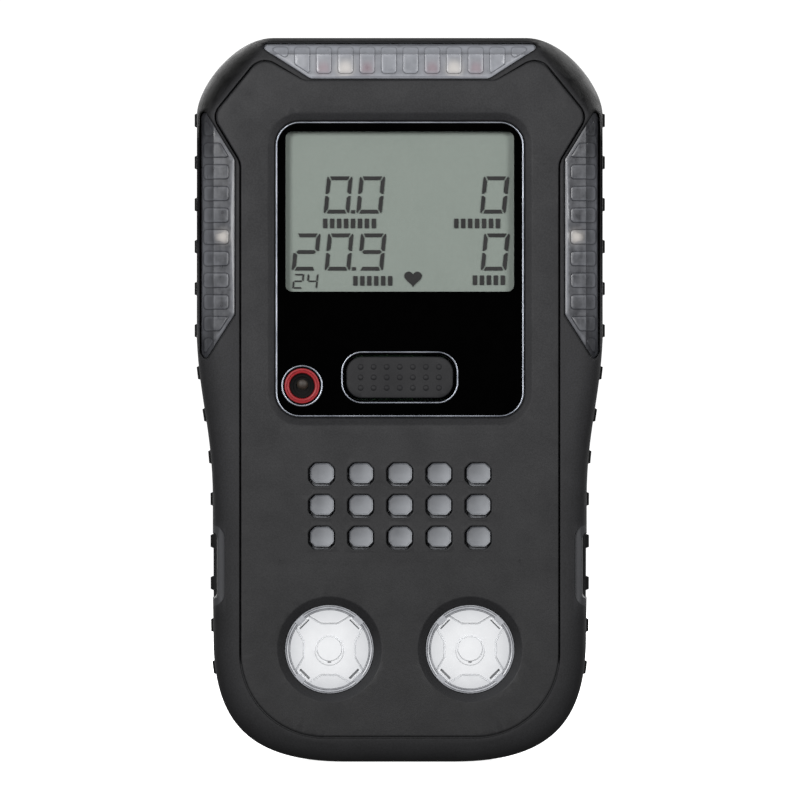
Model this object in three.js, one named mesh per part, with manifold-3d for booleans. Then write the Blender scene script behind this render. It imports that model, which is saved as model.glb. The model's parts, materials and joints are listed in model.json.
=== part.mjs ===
// Portable gas detector: a sealed two-shell instrument with a display, a push button, alarm lenses on three
// sides, four plug-in gas sensors and a sprung alligator clip on its back.
//
// Units are millimetres. +X is to the right as the user reads the display, +Z is up, and the front faces -Y.
// Inside the model, y is the depth behind the frontmost point and z the height above the base. The exported
// group moves the middle of the depth to y = 0.

import * as THREE from 'three';
import { mergeVertices } from 'three/addons/utils/BufferGeometryUtils.js';
import Module from 'manifold-3d';

const wasm = await Module();
wasm.setup();

// Case
const HEIGHT = 120;
const SHOULDER = 33.65; // half the width beside the display
const WAIST = 31; // half the width beside the sensors
const FOOT = 9; // half the width of the flat base
const CASE_DEPTH = 30;
const OVERALL_DEPTH = 40.6; // with the clip
const FACE = 0.6; // depth of the front face behind the raised button
const EDGE = { inset: 3, depth: 5 }; // slope between the front or rear face and the side
const SPLIT = 17; // depth of the joint between the two shells
const WALL = 2.5;
const FLOOR_FRONT = 2.9; // the front shell's floor, which carries the face panel and the window
const FLOOR_BACK = 6.5;
const DISPLAY_POCKET = 4.9; // depth at which the floor is thinned behind the display
const GAP = 0.3; // clearance between neighbours
const CASE_STEPS = 5; // straight stretches in each curve of the case
const CORNER_STEPS = 2;
const ROUND_STEPS = 24;
const SMALL_STEPS = 12;

// Face panel, window and display
const PANEL = { halfWidth: 26.4, bottom: 4.1, shoulder: 99.3, back: 2.6 };
const WINDOW = { halfWidth: 20.55, bottom: 57.15, top: 106.05, corner: 4, front: 1.4, back: 2.6 };
const LCD = { halfWidth: 19.4, bottom: 77.4, top: 104.9, front: 2.9, back: 4.5 };
const LCD_FRAME = { halfWidth: 21.4, bottom: 74.6, top: 107.6, front: 5.2, back: 8.2, bar: 2.6 };

// Push button
const BUTTON = { halfWidth: 8.83, halfHeight: 3.45, height: 63.7, corner: 2.6, flange: 1.2, travel: 0.7 };

// Infrared port
const PORT = { x: -16.17, z: 62.3, ring: 3.2, bore: 2.05 };

// Sensors, their ports and the vents
const SENSOR = { radius: 9.9, front: 8.1, back: 24.1, pinCircle: 6.4, pin: 0.75, pinEnd: 26.6 };
const LOWER_SENSORS = { x: 11.64, z: 18.7 };
const UPPER_SENSORS = { x: 10.3, z: 42.4 };
const CAP = { radius: 7.3, dish: 8.66, front: 1.2, back: 2.6 };
const VENT = { pitchX: 6.47, pitchZ: 5.25, width: 4.2, height: 3.5, corner: 1.1, columns: 5, rows: 3 };
const VENT_BED = { halfWidth: 20.3, halfHeight: 8.9, back: 4.1 };

// Alarm lenses
const LENS_BACK = 4.7;
const LENS_POCKET = 5;
const PAD = { pitch: 3.59, width: 2.25, rise: 0.4, margin: 0.8 };

// Grip strips on the sides of the rear shell
const GRIP = { front: 18.2, back: 24.2, bottom: 12.8, top: 109, depth: 1.2, proud: 0.5 };
const NUB = { count: 14, top: 106.5, pitch: 7, height: 2.4 };

// Side slots, which leave the grip strips open to the fingers
const SLOT = { inner: 28.9, bottom: 25.8, top: 39.3, slope: 1.3, slopeDepth: 5 };

// Boards and battery
const MAIN_BOARD = { halfWidth: 22.3, bottom: 54, top: 112, front: 9, back: 10.6 };
const SENSOR_BOARD = { halfWidth: 22.2, bottom: 13.5, top: 58, front: 24.7, back: 26.1 };
const BATTERY = { left: -23, right: 10.5, bottom: 61, top: 111, front: 13, back: 24.5 };
const BUZZER = { x: 19.8, z: 98, radius: 7.5, front: 10.9, back: 18 };
const MOTOR = { x: 19, y: 18, radius: 3, bottom: 69, top: 80, shaft: 0.5, weight: 3.6, weightRadius: 2.7 };

// Fasteners
const BOSS = 2.8;
const CASE_SCREWS = [[26.6, 108.4], [25.8, 57], [22, 10.3]]; // x and z, the same on both sides
const CASE_SCREW = { radius: 1.1, head: 2.5, headFront: 27.9, headBack: 29.8, tip: 8.6 };
const CLIP_SCREWS = [[-5, 96], [5, 96], [0, 65]];
const CONTACT = { radius: 1.3, pitch: 5, z: 9.5 };
const LABEL = { halfWidth: 16, bottom: 20, top: 44, thickness: 0.4 };

// Clip
const BRACKET = { halfWidth: 9.5, bottom: 57, top: 100, front: 30.3, back: 31.5 };
const PIN = { y: 34.7, z: 88, radius: 1, head: 1.8, halfLength: 10.8 };
const EAR = { radius: 2.8, sheet: 1.2 };
const LEVER = { halfWidth: 7.8, bottom: 57.5, top: 106, front: 37.4, sheet: 1.2 };
const SPRING = { wire: 0.35, coil: 1.9, turns: 5, halfWidth: 4.5 };

// ------------------------------------------------------------------------------------------ solids and outlines

/** A closed three.js geometry as a solid that can be joined and cut. */
function solid(geometry) {
  geometry.deleteAttribute('normal');
  geometry.deleteAttribute('uv');
  const merged = mergeVertices(geometry, 1e-4);
  const vertProperties = new Float32Array(merged.attributes.position.array);
  const triVerts = new Uint32Array(merged.index.array);
  return new wasm.Manifold(new wasm.Mesh({ numProp: 3, vertProperties, triVerts }));
}

/** The outline between two depths. It may be grown or shrunk all round, and its end edges may slope inwards. */
function slab(outline, front, back, { grow = 0, inset = 0, depth = 0 } = {}) {
  const geometry = new THREE.ExtrudeGeometry(outline, {
    depth: back - front - 2 * depth,
    curveSegments: CORNER_STEPS,
    bevelEnabled: true,
    bevelSegments: inset > 0 ? 1 : 0,
    bevelThickness: depth,
    bevelSize: inset,
    bevelOffset: grow - inset,
  });
  geometry.rotateX(Math.PI / 2);
  geometry.translate(0, back - depth, 0);
  return solid(geometry);
}

/** A block between two corners. */
function block([x0, y0, z0], [x1, y1, z1]) {
  const geometry = new THREE.BoxGeometry(x1 - x0, y1 - y0, z1 - z0);
  geometry.translate((x0 + x1) / 2, (y0 + y1) / 2, (z0 + z1) / 2);
  return solid(geometry);
}

/** A turned piece. The profile is a list of [radius, depth], and its axis runs along Y through x and z. */
function turned(profile, x, z, steps = ROUND_STEPS) {
  const points = profile.map(([radius, depth]) => new THREE.Vector2(radius, -depth));
  const geometry = new THREE.LatheGeometry(points.reverse(), steps);
  geometry.rotateX(Math.PI);
  geometry.translate(x, 0, z);
  return solid(geometry);
}

/** A round bar along Y. */
function bar(radius, front, back, x, z, steps = ROUND_STEPS) {
  return turned([[0, front], [radius, front], [radius, back], [0, back]], x, z, steps);
}

/** A flat ring around an axis along Y. */
function ring(outer, inner, front, back, x, z, steps = 16) {
  return bar(outer, front, back, x, z, steps).subtract(bar(inner, front - 1, back + 1, x, z, steps));
}

/** A round bar along X. */
function crossBar(radius, left, right, y, z, steps = SMALL_STEPS) {
  const geometry = new THREE.CylinderGeometry(radius, radius, right - left, steps);
  geometry.rotateZ(Math.PI / 2);
  geometry.translate((left + right) / 2, y, z);
  return solid(geometry);
}

/** A side view, drawn in y and z, given a width along X. */
function profileAcross(points, left, right) {
  const outline = new THREE.Shape(points.map(([y, z]) => new THREE.Vector2(y, z)));
  const geometry = new THREE.ExtrudeGeometry(outline, { depth: right - left, bevelEnabled: false });
  const axes = new THREE.Matrix4().makeBasis(
    new THREE.Vector3(0, 1, 0),
    new THREE.Vector3(0, 0, 1),
    new THREE.Vector3(1, 0, 0),
  );
  geometry.applyMatrix4(axes);
  geometry.translate(left, 0, 0);
  return solid(geometry);
}

/** A closed outline through corners [x, z, radius], each rounded by its own radius. */
function rounded(corners) {
  const shape = new THREE.Shape();
  corners.forEach(([x, z, radius], index) => {
    const corner = new THREE.Vector2(x, z);
    const [toBefore, toAfter] = [corners.at(index - 1), corners[(index + 1) % corners.length]].map(
      ([otherX, otherZ]) => new THREE.Vector2(otherX, otherZ).sub(corner).normalize(),
    );
    const reach = radius / Math.tan(toBefore.angleTo(toAfter) / 2);
    const start = corner.clone().addScaledVector(toBefore, reach);
    const end = corner.clone().addScaledVector(toAfter, reach);
    if (index === 0) shape.moveTo(start.x, start.y);
    else shape.lineTo(start.x, start.y);
    if (radius > 0) shape.quadraticCurveTo(corner.x, corner.y, end.x, end.y);
  });
  return shape;
}

/** A rectangle with equal rounded corners. */
function rectangle(left, right, bottom, top, radius) {
  return rounded([[left, bottom, radius], [right, bottom, radius], [right, top, radius], [left, top, radius]]);
}

/** A closed outline through the same corners left sharp, which can be shrunk further than the radii. */
function sharp(corners) {
  return rounded(corners.map(([x, z]) => [x, z, 0]));
}

/** The same corners on the other side of the middle plane. */
function flipped(corners) {
  return corners.map(([x, z, radius]) => [-x, z, radius]).reverse();
}

/** A copy of a solid on the other side of the middle plane. */
function mirrored(body) {
  return body.mirror([1, 0, 0]);
}

/** One solid from several. */
function joined(bodies) {
  return bodies.reduce((whole, body) => whole.add(body));
}

// ----------------------------------------------------------------------------------------------------- outlines

/** The case seen from the front: a flat foot, a waist beside the sensors and broad shoulders. */
function caseOutline() {
  const right = new THREE.Path();
  right.moveTo(FOOT, 0);
  right.bezierCurveTo(25, 0, WAIST - 0.3, 6.5, WAIST - 0.1, 20);
  right.lineTo(WAIST, 44);
  right.bezierCurveTo(WAIST + 0.1, 55, SHOULDER - 0.45, 60, SHOULDER, 70);
  right.lineTo(SHOULDER, HEIGHT - 12.5);
  right.bezierCurveTo(SHOULDER - 0.15, HEIGHT - 8, 27.5, HEIGHT, 21, HEIGHT);
  const points = right.getPoints(CASE_STEPS);
  const left = points.map((point) => new THREE.Vector2(-point.x, point.y)).reverse();
  return new THREE.Shape([...points, ...left]);
}

/** The face panel: a plate with a round lower edge, two pointed upper corners and a dip under the top lens. */
function panelOutline() {
  const right = [
    [17, PANEL.bottom, 9],
    [PANEL.halfWidth, 13.5, 7],
    [PANEL.halfWidth, PANEL.shoulder, 1],
    [31.1, 107, 1],
    [23, 117, 0.6],
    [15.9, 112.7, 1],
  ];
  return rounded([...right, ...flipped(right)]);
}

const SIDE_LENS = [
  [27.3, 74.7, 1],
  [32.2, 67.1, 0.5],
  [33, 68.6, 0.6],
  [33, 106.6, 0.6],
  [32.1, 107.7, 0.5],
  [27.3, 99.7, 1],
];
const HALF_TOP_LENS = [
  [15, 113.2, 0.8],
  [22.7, 118, 0.5],
  [21.7, 119.1, 0.5],
];
const TOP_LENS = [...HALF_TOP_LENS, ...flipped(HALF_TOP_LENS)];

const CASE = caseOutline();
const PANEL_OUTLINE = panelOutline();

/** The whole case as one solid, with sloping front and rear edges. */
function envelope(grow = 0, forward = 0) {
  return slab(CASE, FACE - forward, CASE_DEPTH, { grow, ...EDGE });
}

/** Everything between two depths. */
function depthRange(front, back) {
  return block([-60, front, -20], [60, back, HEIGHT + 20]);
}

// ------------------------------------------------------------------------------------------------------- shells

/** The screw positions on both sides, as [x, z]. */
function caseScrewPlaces() {
  return CASE_SCREWS.flatMap(([x, z]) => [[-x, z], [x, z]]);
}

/** The sensor positions: name, x and z. */
function sensorPlaces() {
  return [
    ['oxygen', -LOWER_SENSORS.x, LOWER_SENSORS.z],
    ['toxic_gas', LOWER_SENSORS.x, LOWER_SENSORS.z],
    ['combustible_gas', -UPPER_SENSORS.x, UPPER_SENSORS.z],
    ['carbon_dioxide', UPPER_SENSORS.x, UPPER_SENSORS.z],
  ];
}

/** One side slot: a sloping mouth in the front edge and a straight passage behind it. */
function sideSlot() {
  const outer = SHOULDER + 6;
  const mouth = rectangle(SLOT.inner, outer, SLOT.bottom, SLOT.top, 0);
  const slope = { inset: SLOT.slope, depth: SLOT.slopeDepth };
  const funnel = slab(mouth, FACE - 12, FACE + SLOT.slopeDepth, slope);
  const passage = slab(mouth, FACE, SPLIT + 1, { grow: -SLOT.slope });
  return funnel.add(passage);
}

/** The channel for the seal in the rear shell's rim, or the seal itself. */
function sealChannel(front, back, clearance) {
  const outer = slab(CASE, front, back, { grow: clearance - 0.8 });
  return outer.subtract(slab(CASE, front - 1, back + 1, { grow: -clearance - 1.6 }));
}

function frontHousing() {
  const cavity = slab(CASE, FLOOR_BACK, CASE_DEPTH, { grow: -WALL });
  const cuts = [
    slab(PANEL_OUTLINE, -5, FLOOR_FRONT, { grow: GAP }),
    slab(rounded(SIDE_LENS), -5, LENS_POCKET, { grow: GAP }),
    mirrored(slab(rounded(SIDE_LENS), -5, LENS_POCKET, { grow: GAP })),
    slab(rounded(TOP_LENS), -5, LENS_POCKET, { grow: GAP }),
    slab(rectangle(-22.6, 22.6, 56, 109, 1), DISPLAY_POCKET, FLOOR_BACK + 1),
    slab(rectangle(-LCD.halfWidth, LCD.halfWidth, LCD.bottom, LCD.top, 0.8), 0, 6, { grow: GAP }),
    slab(buttonOutline(), 0, 6, { grow: GAP }),
    bar(PORT.bore, 0, 6, PORT.x, PORT.z, 16),
    slab(ventBedOutline(), 0, VENT_BED.back, { grow: GAP }),
    sideSlot(),
    mirrored(sideSlot()),
    ...sensorPlaces().map(([, x, z]) => bar(CAP.radius - 0.4, 0, FLOOR_BACK + 1, x, z)),
  ];
  const bosses = caseScrewPlaces().map(([x, z]) => bar(BOSS, FLOOR_BACK - 1, SPLIT, x, z, SMALL_STEPS));
  const holes = caseScrewPlaces().map(([x, z]) => {
    return bar(CASE_SCREW.radius + GAP, CASE_SCREW.tip - GAP, SPLIT + 1, x, z, 8);
  });
  const shell = envelope().intersect(depthRange(-5, SPLIT)).subtract(cavity);
  return shell.subtract(joined(cuts)).add(joined(bosses)).subtract(joined(holes));
}

/** The recess for both grip strips, or the strips' own body. */
function gripBand(grow) {
  const { front, back, bottom, top, depth } = GRIP;
  const band = slab(CASE, front - grow, back + grow, { grow: 2 * grow });
  const heights = block([-60, 0, bottom - grow], [60, CASE_DEPTH, top + grow]);
  const core = slab(CASE, front - 1, back + 1, { grow: -depth - grow });
  return band.subtract(core).intersect(heights);
}

function rearHousing() {
  const cavity = slab(CASE, SPLIT - 1, CASE_DEPTH - WALL, { grow: -WALL });
  const shell = envelope().intersect(depthRange(SPLIT + GAP, CASE_DEPTH + 5)).subtract(cavity);
  const bosses = caseScrewPlaces().map(([x, z]) => {
    return bar(BOSS, SPLIT + GAP, CASE_DEPTH - 1, x, z, SMALL_STEPS);
  });
  const cuts = [
    gripBand(GAP),
    sealChannel(SPLIT - 1, SPLIT + 1.5, 0.2),
    slab(labelOutline(), CASE_DEPTH - LABEL.thickness - GAP, CASE_DEPTH + 1, { grow: GAP }),
    ...caseScrewPlaces().flatMap(([x, z]) => [
      bar(CASE_SCREW.radius + GAP, SPLIT - 1, CASE_DEPTH, x, z, 8),
      bar(CASE_SCREW.head + GAP, CASE_SCREW.headFront - GAP, CASE_DEPTH + 1, x, z, SMALL_STEPS),
    ]),
    ...CLIP_SCREWS.map(([x, z]) => bar(1.3, CASE_DEPTH - WALL - 2, CASE_DEPTH + 1, x, z, 8)),
    ...contactPlaces().map((x) => bar(CONTACT.radius + GAP, 24, CASE_DEPTH + 1, x, CONTACT.z, 10)),
  ];
  return shell.add(joined(bosses)).subtract(joined(cuts));
}

function housingGasket() {
  return sealChannel(SPLIT + GAP, SPLIT + 1.2, -0.1);
}

function rightGrip() {
  const nubs = Array.from({ length: NUB.count }, (_, index) => {
    const middle = NUB.top - index * NUB.pitch;
    const low = [0, GRIP.front + 0.6, middle - NUB.height / 2];
    return block(low, [60, GRIP.back - 0.6, middle + NUB.height / 2]);
  });
  const raised = slab(CASE, GRIP.front, GRIP.back, { grow: GRIP.proud });
  const core = slab(CASE, GRIP.front - 1, GRIP.back + 1, { grow: -GRIP.depth });
  const rightHalf = block([0, 0, 0], [60, CASE_DEPTH, HEIGHT]);
  const ribs = raised.subtract(core).intersect(joined(nubs));
  return gripBand(0).intersect(rightHalf).add(ribs);
}

// -------------------------------------------------------------------------------------------------- front panel

function windowOutline() {
  return rectangle(-WINDOW.halfWidth, WINDOW.halfWidth, WINDOW.bottom, WINDOW.top, WINDOW.corner);
}

function buttonOutline() {
  const { halfWidth, halfHeight, height, corner } = BUTTON;
  return rectangle(-halfWidth, halfWidth, height - halfHeight, height + halfHeight, corner);
}

function ventBedOutline() {
  const { halfWidth, halfHeight } = VENT_BED;
  const { z } = UPPER_SENSORS;
  return rectangle(-halfWidth, halfWidth, z - halfHeight, z + halfHeight, 1.5);
}

/** The openings of the vent grid. */
function vents() {
  const openings = [];
  for (let column = 0; column < VENT.columns; column += 1) {
    for (let row = 0; row < VENT.rows; row += 1) {
      const x = (column - (VENT.columns - 1) / 2) * VENT.pitchX;
      const z = UPPER_SENSORS.z + (row - (VENT.rows - 1) / 2) * VENT.pitchZ;
      const [halfWidth, halfHeight] = [VENT.width / 2, VENT.height / 2];
      const outline = octagon(x - halfWidth, x + halfWidth, z - halfHeight, z + halfHeight, VENT.corner);
      openings.push(slab(outline, -1, PANEL.back + 1));
    }
  }
  return joined(openings);
}

/** A rectangle with its corners cut off. */
function octagon(left, right, bottom, top, cut) {
  const points = [
    [left + cut, bottom], [right - cut, bottom], [right, bottom + cut], [right, top - cut],
    [right - cut, top], [left + cut, top], [left, top - cut], [left, bottom + cut],
  ];
  return new THREE.Shape(points.map(([x, z]) => new THREE.Vector2(x, z)));
}

/** The face panel, with a sloping surround at the window and a dish at each lower sensor port. */
function frontPanel() {
  const slope = 0.8;
  const dish = [[0, -1], [CAP.dish, -1], [CAP.dish, FACE], [CAP.radius + GAP, 1.7], [CAP.radius + GAP, 4], [0, 4]];
  const cuts = [
    slab(windowOutline(), -1, 4, { grow: GAP }),
    slab(windowOutline(), FACE - 2 * slope, FACE + slope, { grow: GAP + slope, inset: slope, depth: slope }),
    vents(),
    turned(dish, -LOWER_SENSORS.x, LOWER_SENSORS.z),
    turned(dish, LOWER_SENSORS.x, LOWER_SENSORS.z),
  ];
  return slab(PANEL_OUTLINE, FACE, PANEL.back).subtract(joined(cuts));
}

function displayWindow() {
  const buttonHole = slab(buttonOutline(), -1, 4, { grow: GAP });
  const portHole = bar(PORT.ring + GAP, -1, 4, PORT.x, PORT.z, 24);
  return slab(windowOutline(), WINDOW.front, WINDOW.back).subtract(buttonHole).subtract(portHole);
}

function lcdGlass() {
  return slab(rectangle(-LCD.halfWidth, LCD.halfWidth, LCD.bottom, LCD.top, 0.8), LCD.front, LCD.back);
}

function lcdFrame() {
  const { halfWidth, bottom, top, front, back, bar: width } = LCD_FRAME;
  const outline = rectangle(-halfWidth, halfWidth, bottom, top, 0);
  return slab(outline, front, back).subtract(slab(outline, front - 1, back + 1, { grow: -width }));
}

function lcdBacklight() {
  const { halfWidth, bottom, top, bar: width } = LCD_FRAME;
  const outline = rectangle(-halfWidth, halfWidth, bottom, top, 0);
  return slab(outline, LCD.back + GAP, LCD_FRAME.back - 1, { grow: -width - GAP });
}

/** The button's cap, the flange that holds it behind the shell's floor, and the stem that works the switch. */
function pushButton() {
  const cap = slab(buttonOutline(), 0, 5.5, { inset: 0.4, depth: 0.4 });
  const flange = slab(buttonOutline(), DISPLAY_POCKET + GAP, 6, { grow: BUTTON.flange });
  return cap.add(flange).add(bar(1.5, 5.5, 6.7, 0, BUTTON.height, SMALL_STEPS));
}

function buttonSwitch() {
  const plunger = 6.7 + BUTTON.travel + GAP;
  const { height } = BUTTON;
  const body = block([-3, plunger + 0.4, height - 3], [3, MAIN_BOARD.front - GAP, height + 3]);
  return body.add(bar(1.7, plunger, plunger + 0.6, 0, height, SMALL_STEPS));
}

function portRing() {
  return ring(PORT.ring, PORT.bore, WINDOW.front - 0.2, WINDOW.back, PORT.x, PORT.z);
}

function portLens() {
  return bar(PORT.bore - GAP, WINDOW.back - 0.6, DISPLAY_POCKET, PORT.x, PORT.z, 16);
}

/** A small domed emitter behind the port. */
function infraredLed() {
  const profile = [[0, 5.4], [0.9, 5.7], [1.4, 6.6], [1.4, 8], [1.8, 8], [1.8, 8.7], [0, 8.7]];
  return turned(profile, PORT.x, PORT.z, SMALL_STEPS);
}

// ------------------------------------------------------------------------------------------------- alarm lenses

/** A lens that follows the case's sloping edge, hollow behind, with a row of raised pads on it. */
function alarmLens(corners, padOutlines) {
  const body = slab(rounded(corners), -5, LENS_BACK).intersect(envelope());
  const hollow = slab(sharp(corners), 0, LENS_BACK + 1, { grow: -1.1 }).intersect(envelope(-1.3, -1.4));
  const pads = joined(padOutlines.map((pad) => slab(pad, -5, LENS_BACK - 0.5)));
  const padArea = slab(sharp(corners), -5, LENS_BACK, { grow: -PAD.margin });
  const raised = pads.intersect(padArea).intersect(envelope(PAD.rise / 2, PAD.rise));
  return body.add(raised).subtract(hollow);
}

function topAlarmLens() {
  const count = 12;
  const pads = Array.from({ length: count }, (_, index) => {
    const x = (index - (count - 1) / 2) * PAD.pitch;
    return rectangle(x - PAD.width / 2, x + PAD.width / 2, 113.9, 118.7, 0.5);
  });
  return alarmLens(TOP_LENS, pads);
}

function rightAlarmLens() {
  const pads = Array.from({ length: 10 }, (_, index) => {
    const z = 104.7 - index * PAD.pitch;
    return rectangle(28, 32.6, z - PAD.width / 2, z + PAD.width / 2, 0.5);
  });
  return alarmLens(SIDE_LENS, pads);
}

/** A narrow board with a light-emitting diode at each of the places. */
function ledBoard(low, high, places) {
  const diodes = places.map(([x, z]) => block([x - 0.6, 3.1, z - 0.6], [x + 0.6, 4, z + 0.6]));
  return block([low[0], 3.7, low[1]], [high[0], LENS_BACK - 0.1, high[1]]).add(joined(diodes));
}

function topLedBoard() {
  return ledBoard([-14, 114.4], [14, 116.2], [[-9, 115.3], [-5.4, 115.3], [5.4, 115.3], [9, 115.3]]);
}

function rightLedBoard() {
  return ledBoard([28.6, 77], [30.2, 98.5], [[29.3, 79.8], [29.3, 87], [29.3, 94.1]]);
}

// ------------------------------------------------------------------------------------------------------ sensors

/** The cap over a lower port: a rim, a cross of four arms around open petals, and a round boss in the middle. */
function sensorCap(x, z) {
  const { radius, front, back } = CAP;
  const disc = turned([[0, front + 0.4], [radius - 0.8, front + 0.4], [radius - 0.4, front], [radius, front + 0.3],
    [radius, back], [0, back]], x, z);
  const petals = [0, 1, 2, 3].map((quarter) => {
    const angle = (quarter * Math.PI) / 2;
    const [cx, cz] = [x + 7.9 * Math.cos(angle), z + 7.9 * Math.sin(angle)];
    return bar(3.4, 0, 4, cx, cz, 16).intersect(bar(6.1, 0, 4, x, z));
  });
  const boss = bar(2.15, front, back - 0.3, x, z, 16);
  return disc.add(boss).subtract(joined(petals));
}

function filterDisc(x, z) {
  return bar(CAP.radius - 0.7, FLOOR_FRONT, FLOOR_FRONT + 0.7, x, z);
}

function ventFilter() {
  return slab(ventBedOutline(), FLOOR_FRONT, VENT_BED.back - GAP);
}

/** A sensor: a plain drum with three plug-in pins at its back. */
function gasSensor(x, z) {
  const { radius, front, back } = SENSOR;
  const drum = turned([[0, front], [radius - 1, front], [radius, front + 1], [radius, back], [0, back]], x, z);
  return drum.add(sensorPins(x, z, SENSOR.pin, back - 0.5, SENSOR.pinEnd));
}

/** The three pins of a sensor, or the holes that they go through. */
function sensorPins(x, z, radius, front, back) {
  const places = [0, 1, 2].map((third) => Math.PI * (0.5 + (2 * third) / 3));
  const { pinCircle } = SENSOR;
  return joined(places.map((angle) => {
    return bar(radius, front, back, x + pinCircle * Math.cos(angle), z + pinCircle * Math.sin(angle), 6);
  }));
}

function sensorGasket(x, z) {
  return ring(9, 7.2, FLOOR_BACK + GAP, SENSOR.front - GAP, x, z);
}

// ------------------------------------------------------------------------------------------- boards and battery

function mainBoard() {
  const { halfWidth, bottom, top, front, back } = MAIN_BOARD;
  return slab(rectangle(-halfWidth, halfWidth, bottom, top, 1.5), front, back);
}

function sensorBoard() {
  const { halfWidth, bottom, top, front, back } = SENSOR_BOARD;
  const board = slab(rectangle(-halfWidth, halfWidth, bottom, top, 1.5), front, back);
  const holes = sensorPlaces().map(([, x, z]) => sensorPins(x, z, SENSOR.pin + GAP, front - 1, back + 1));
  return board.subtract(joined(holes));
}

function boardConnector() {
  const low = [-8, MAIN_BOARD.back + GAP, MAIN_BOARD.bottom + 0.4];
  return block(low, [8, SENSOR_BOARD.front - GAP, MAIN_BOARD.bottom + 3]);
}

function batteryPack() {
  const { left, right, bottom, top, front, back } = BATTERY;
  return slab(rectangle(left, right, bottom, top, 2), front, back, { inset: 1, depth: 1 });
}

/** A sheet-metal tray around the back and both sides of the battery. */
function batteryBracket() {
  const { left, right, bottom, top, front, back } = BATTERY;
  const sheet = 0.6;
  const tray = block([left - GAP - sheet, front + 2, bottom + 8], [right + GAP + sheet, back + GAP + sheet, top - 14]);
  return tray.subtract(block([left - GAP, front - 5, bottom - 5], [right + GAP, back + GAP, top + 5]));
}

function buzzer() {
  const { x, z, radius, front, back } = BUZZER;
  const can = [[0, front], [radius, front], [radius, back - 0.6], [radius - 0.6, back], [1.2, back],
    [1.2, back - 1.5], [0, back - 1.5]];
  return turned(can, x, z);
}

/** A round bar along Z. */
function upright(radius, bottom, top, x, y, steps = 16) {
  const geometry = new THREE.CylinderGeometry(radius, radius, top - bottom, steps);
  geometry.rotateX(Math.PI / 2);
  geometry.translate(x, y, (bottom + top) / 2);
  return solid(geometry);
}

/** The alarm's vibration motor: a can with a bore for the shaft of its weight. */
function vibrationMotor() {
  const { x, y, radius, bottom, top, shaft } = MOTOR;
  return upright(radius, bottom, top, x, y).subtract(upright(shaft + GAP, bottom - 1, bottom + 5, x, y, 8));
}

/** The motor's off-centre weight: a half round on a short shaft. */
function motorWeight() {
  const { x, y, bottom, shaft, weight, weightRadius } = MOTOR;
  const low = bottom - 0.8 - weight;
  const half = block([x - 5, y - 0.9, low - 1], [x + 5, y + 5, bottom]);
  const disc = upright(weightRadius, low, low + weight, x, y).intersect(half);
  return disc.add(upright(shaft, low + 0.5, bottom + 4.5, x, y, 8));
}

// ------------------------------------------------------------------------------------------ fasteners and label

/** A six-sided socket for a key. */
function keySocket(radius, front, back, x, z) {
  return bar(radius, front, back, x, z, 6);
}

function caseScrew(x, z) {
  const { radius, head, headFront, headBack, tip } = CASE_SCREW;
  const profile = [[0, tip], [radius, tip + 0.6], [radius, headFront], [head, headFront], [head, headBack - 0.4],
    [head - 0.4, headBack], [0, headBack]];
  return turned(profile, x, z, SMALL_STEPS).subtract(keySocket(1.3, headBack - 1.2, headBack + 1, x, z));
}

function clipScrew(x, z) {
  const { back } = BRACKET;
  const profile = [[0, 26.8], [1, 26.8], [1, back - 0.9], [2.2, back - 0.4], [2.2, back], [0, back]];
  return turned(profile, x, z, SMALL_STEPS).subtract(keySocket(1.1, back - 0.6, back + 1, x, z));
}

function contactPlaces() {
  return [-CONTACT.pitch, 0, CONTACT.pitch];
}

function chargingContact(x) {
  return bar(CONTACT.radius, CASE_DEPTH - WALL - 0.5, CASE_DEPTH - 0.2, x, CONTACT.z, 10);
}

function labelOutline() {
  return rectangle(-LABEL.halfWidth, LABEL.halfWidth, LABEL.bottom, LABEL.top, 1.5);
}

function rearLabel() {
  return slab(labelOutline(), CASE_DEPTH - LABEL.thickness, CASE_DEPTH);
}

// --------------------------------------------------------------------------------------------------------- clip

/** An ear around the pin, cut from sheet and standing between two depths. */
function ear(left, root, reach) {
  const { y, z } = PIN;
  const { radius, sheet } = EAR;
  const low = [left, Math.min(root, reach), z - radius];
  const web = block(low, [left + sheet, Math.max(root, reach), z + radius]);
  return web.add(crossBar(radius, left, left + sheet, y, z, 16));
}

/** The fixed half of the clip: a plate on the rear shell with two ears for the pin. */
function clipBracket() {
  const { halfWidth, bottom, top, front, back } = BRACKET;
  const plate = slab(rectangle(-halfWidth, halfWidth, bottom, top, 2), front, back);
  const ears = ear(-halfWidth, front + 0.2, PIN.y).add(ear(halfWidth - EAR.sheet, front + 0.2, PIN.y));
  const screwHoles = CLIP_SCREWS.map(([x, z]) => bar(2.2 + GAP, front - 1, back + 1, x, z, SMALL_STEPS));
  const pinHole = crossBar(PIN.radius + GAP, -20, 20, PIN.y, PIN.z);
  return plate.add(ears).subtract(joined(screwHoles)).subtract(pinHole);
}

/** The moving half: a jaw below the pin that closes on the bracket, and a thumb plate above it. */
function clipLever() {
  const { halfWidth, bottom, top, front, sheet } = LEVER;
  const tip = BRACKET.back + GAP;
  const outer = front + sheet;
  const side = [
    [tip, bottom + 2.6], [tip, bottom], [tip + sheet, bottom], [outer, bottom + 4.4], [outer, PIN.z + 4],
    [outer + 2, top], [outer + 0.8, top], [front, PIN.z + 4], [front, bottom + 5.2], [tip + 1.6, bottom + 2.6],
  ];
  const plate = profileAcross(side, -halfWidth, halfWidth);
  const earAt = [-halfWidth, halfWidth - EAR.sheet];
  const ears = joined(earAt.map((left) => ear(left, front + 0.4, PIN.y)));
  const pinHole = crossBar(PIN.radius + GAP, -20, 20, PIN.y, PIN.z);
  return plate.add(ears).subtract(pinHole);
}

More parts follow.
